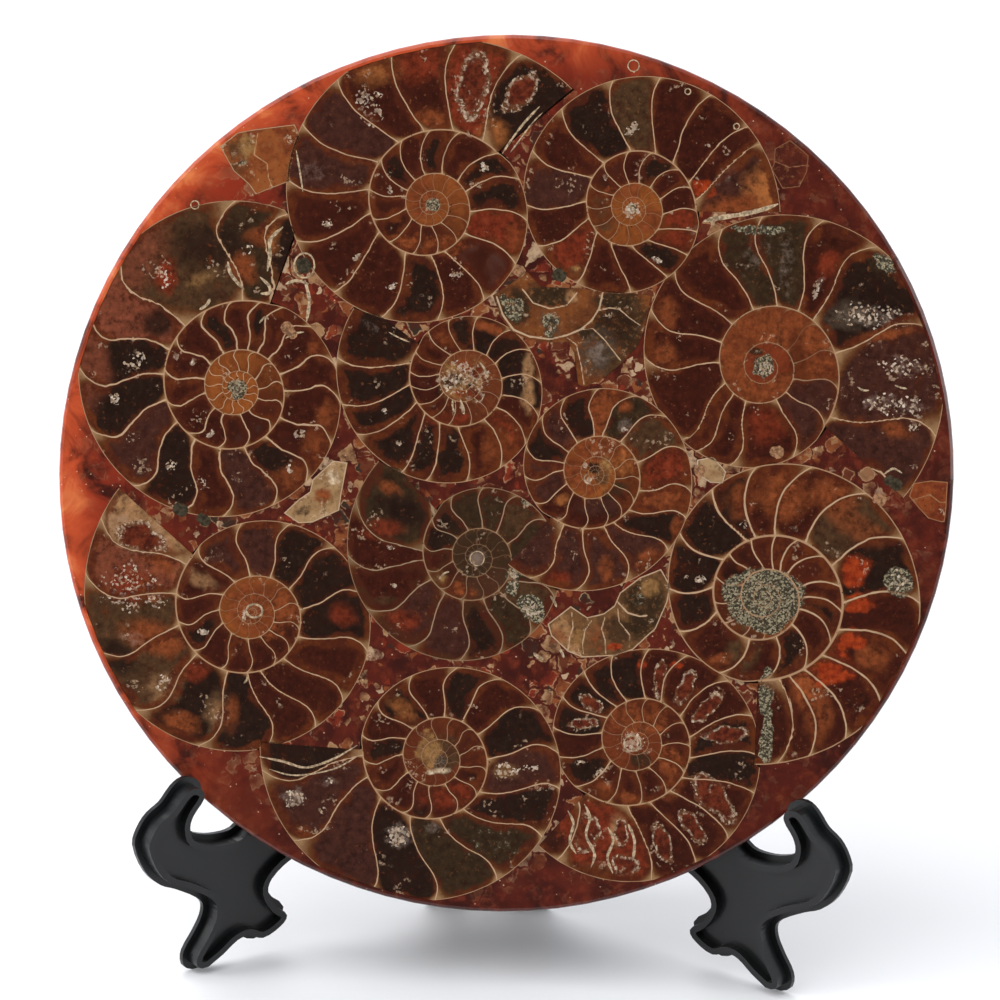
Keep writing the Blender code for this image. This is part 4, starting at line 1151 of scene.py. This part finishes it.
slivers("shell_slivers_upper", (0.50, 0.36, 0.22), (
    (0.11, ((-1.7, 31.5), (-0.8, 33.0), (0.4, 34.7), (1.8, 36.3))),
    (0.07, ((-0.9, 31.7), (0.0, 33.0), (1.1, 34.6), (2.1, 35.7))),
    (0.17, ((-22.8, 23.6), (-24.0, 22.3), (-24.0, 20.7), (-24.2, 19.2))),
    (0.15, ((-28.1, 20.0), (-27.7, 18.7), (-26.4, 17.3))),
    (0.16, ((-24.9, 18.6), (-24.0, 17.8), (-23.9, 17.1), (-24.8, 17.0))),
    (0.15, ((-29.7, 16.3), (-30.0, 15.7), (-30.7, 15.2))),
    (0.10, ((-22.2, 12.7), (-21.4, 13.2), (-20.4, 13.4))),
    (0.10, ((-24.8, 14.1), (-24.3, 14.7), (-23.9, 14.5))),
    (0.09, ((34.0, 10.1), (34.6, 9.8), (35.2, 9.8))), (0.09, ((37.7, 10.4), (38.3, 10.2), (38.9, 10.1))),
    (0.22, ((18.2, 25.7), (19.7, 26.1), (22.2, 26.6), (24.0, 27.1), (25.5, 27.7))),
    (0.08, ((-12.1, 13.7), (-11.1, 13.2), (-10.0, 12.8))),
    (0.10, ((-3.1, 11.1), (-2.5, 10.3), (-2.4, 9.4))), (0.09, ((-5.6, 7.4), (-5.6, 6.8), (-5.4, 6.1))),
    (0.09, ((-4.9, 7.4), (-4.6, 6.8), (-4.4, 6.1))),
    (0.08, ((-21.8, 31.1), (-21.4, 29.2), (-21.0, 27.1))),
    (0.16, ((-20.5, 18.5), (-20.0, 16.5), (-20.2, 14.4))),
    (0.14, ((-22.4, 18.0), (-21.3, 18.4), (-20.1, 18.1))), (0.05, ring(10.8, 40.6, 0.55)),
    (0.05, ring(-31.5, 25.4, 0.4)), (0.08, ring(-20.6, 19.9, 1.0, 1.2)), (0.06, ring(21.1, 35.1, 0.28)),
    (0.06, ring(16.2, 38.3, 0.28))))

slivers("shell_slivers_lower", (0.48, 0.34, 0.21), (
    (0.09, ((-6.3, -10.4), (-5.8, -9.8), (-5.3, -9.6))),
    (0.09, ((-25.1, -21.4), (-24.8, -21.0), (-24.8, -20.5))),
    (0.11, ((-23.3, -28.6), (-20.9, -29.0), (-18.7, -29.5), (-16.1, -28.6), (-13.7, -27.1))),
    (0.08, ((-22.3, -29.8), (-20.2, -30.3), (-18.0, -30.1), (-15.6, -29.4), (-13.5, -28.1))),
    (0.08, ((7.9, 0.5), (7.6, 0.2), (7.8, -0.3), (8.3, -0.4))),
    (0.13, ((7.3, -32.8), (7.9, -34.1), (7.6, -35.8), (8.3, -37.1))),
    (0.14, ((8.9, -32.1), (9.5, -33.4), (9.2, -35.2), (10.1, -37.0), (9.8, -38.4))),
    (0.13, ((11.3, -34.3), (11.9, -35.6), (11.4, -37.3), (12.0, -38.9))),
    (0.14, ((13.3, -33.9), (14.0, -35.6), (13.9, -37.6))),
    (0.12, ((4.7, -11.6), (5.1, -12.1), (5.4, -12.7))),
    (0.16, ((3.3, -17.3), (3.8, -17.7), (4.3, -17.9))),
    (0.14, ((5.8, -16.8), (6.1, -17.2), (6.3, -17.7))), (0.10, ((37.0, 1.6), (37.9, 2.2), (38.8, 1.8))),
    (0.06, ring(13.4, -25.9, 0.85, 0.9)), (0.10, ring(-24.3, -14.2, 0.8, 0.8)),
    (0.05, ring(-2.6, -8.2, 0.7))))

slivers("shell_crumbs_dark", (0.055, 0.042, 0.024), (
    (0.55, ((37.1, 1.2), (38.0, 0.8), (38.8, 0.3))), (0.50, ((-30.2, -5.0), (-29.0, -5.8))),
    (0.60, ((-32.6, -4.2), (-31.2, -4.8))), (0.55, ((3.8, 20.2), (5.0, 19.6))),
    (0.7, ((-21.0, 20.6), (-20.3, 19.2)))))

slivers("shell_crumbs_pale", (0.34, 0.17, 0.085), (
    (0.65, ((36.1, -0.6), (37.3, -1.2))), (0.60, ((25.7, 3.5), (27.1, 3.3))),
    (0.55, ((18.4, 1.6), (19.4, 1.0))), (0.55, ((-22.5, 14.2), (-21.2, 12.8))),
    (0.50, ((0.1, 20.4), (0.9, 19.8)))))

# ---- The stand ---------------------------------------------------------------------------
# Two moulded panels of satin black plastic that hinge on a pin behind the plate.

black_plastic, where = new_finish("black_plastic", Roughness=0.38, IOR=1.5,
                                  Specular_IOR_Level=0.35)
haze = where.noise(3.0, 4, 0.6)
cover(black_plastic, Base_Color=mix(haze, (0.0045, 0.0048, 0.005), (0.008, 0.0085, 0.009)),
      Roughness=mix(haze, 0.24, 0.36))
give("stand_left", black_plastic)
give("stand_right", black_plastic)
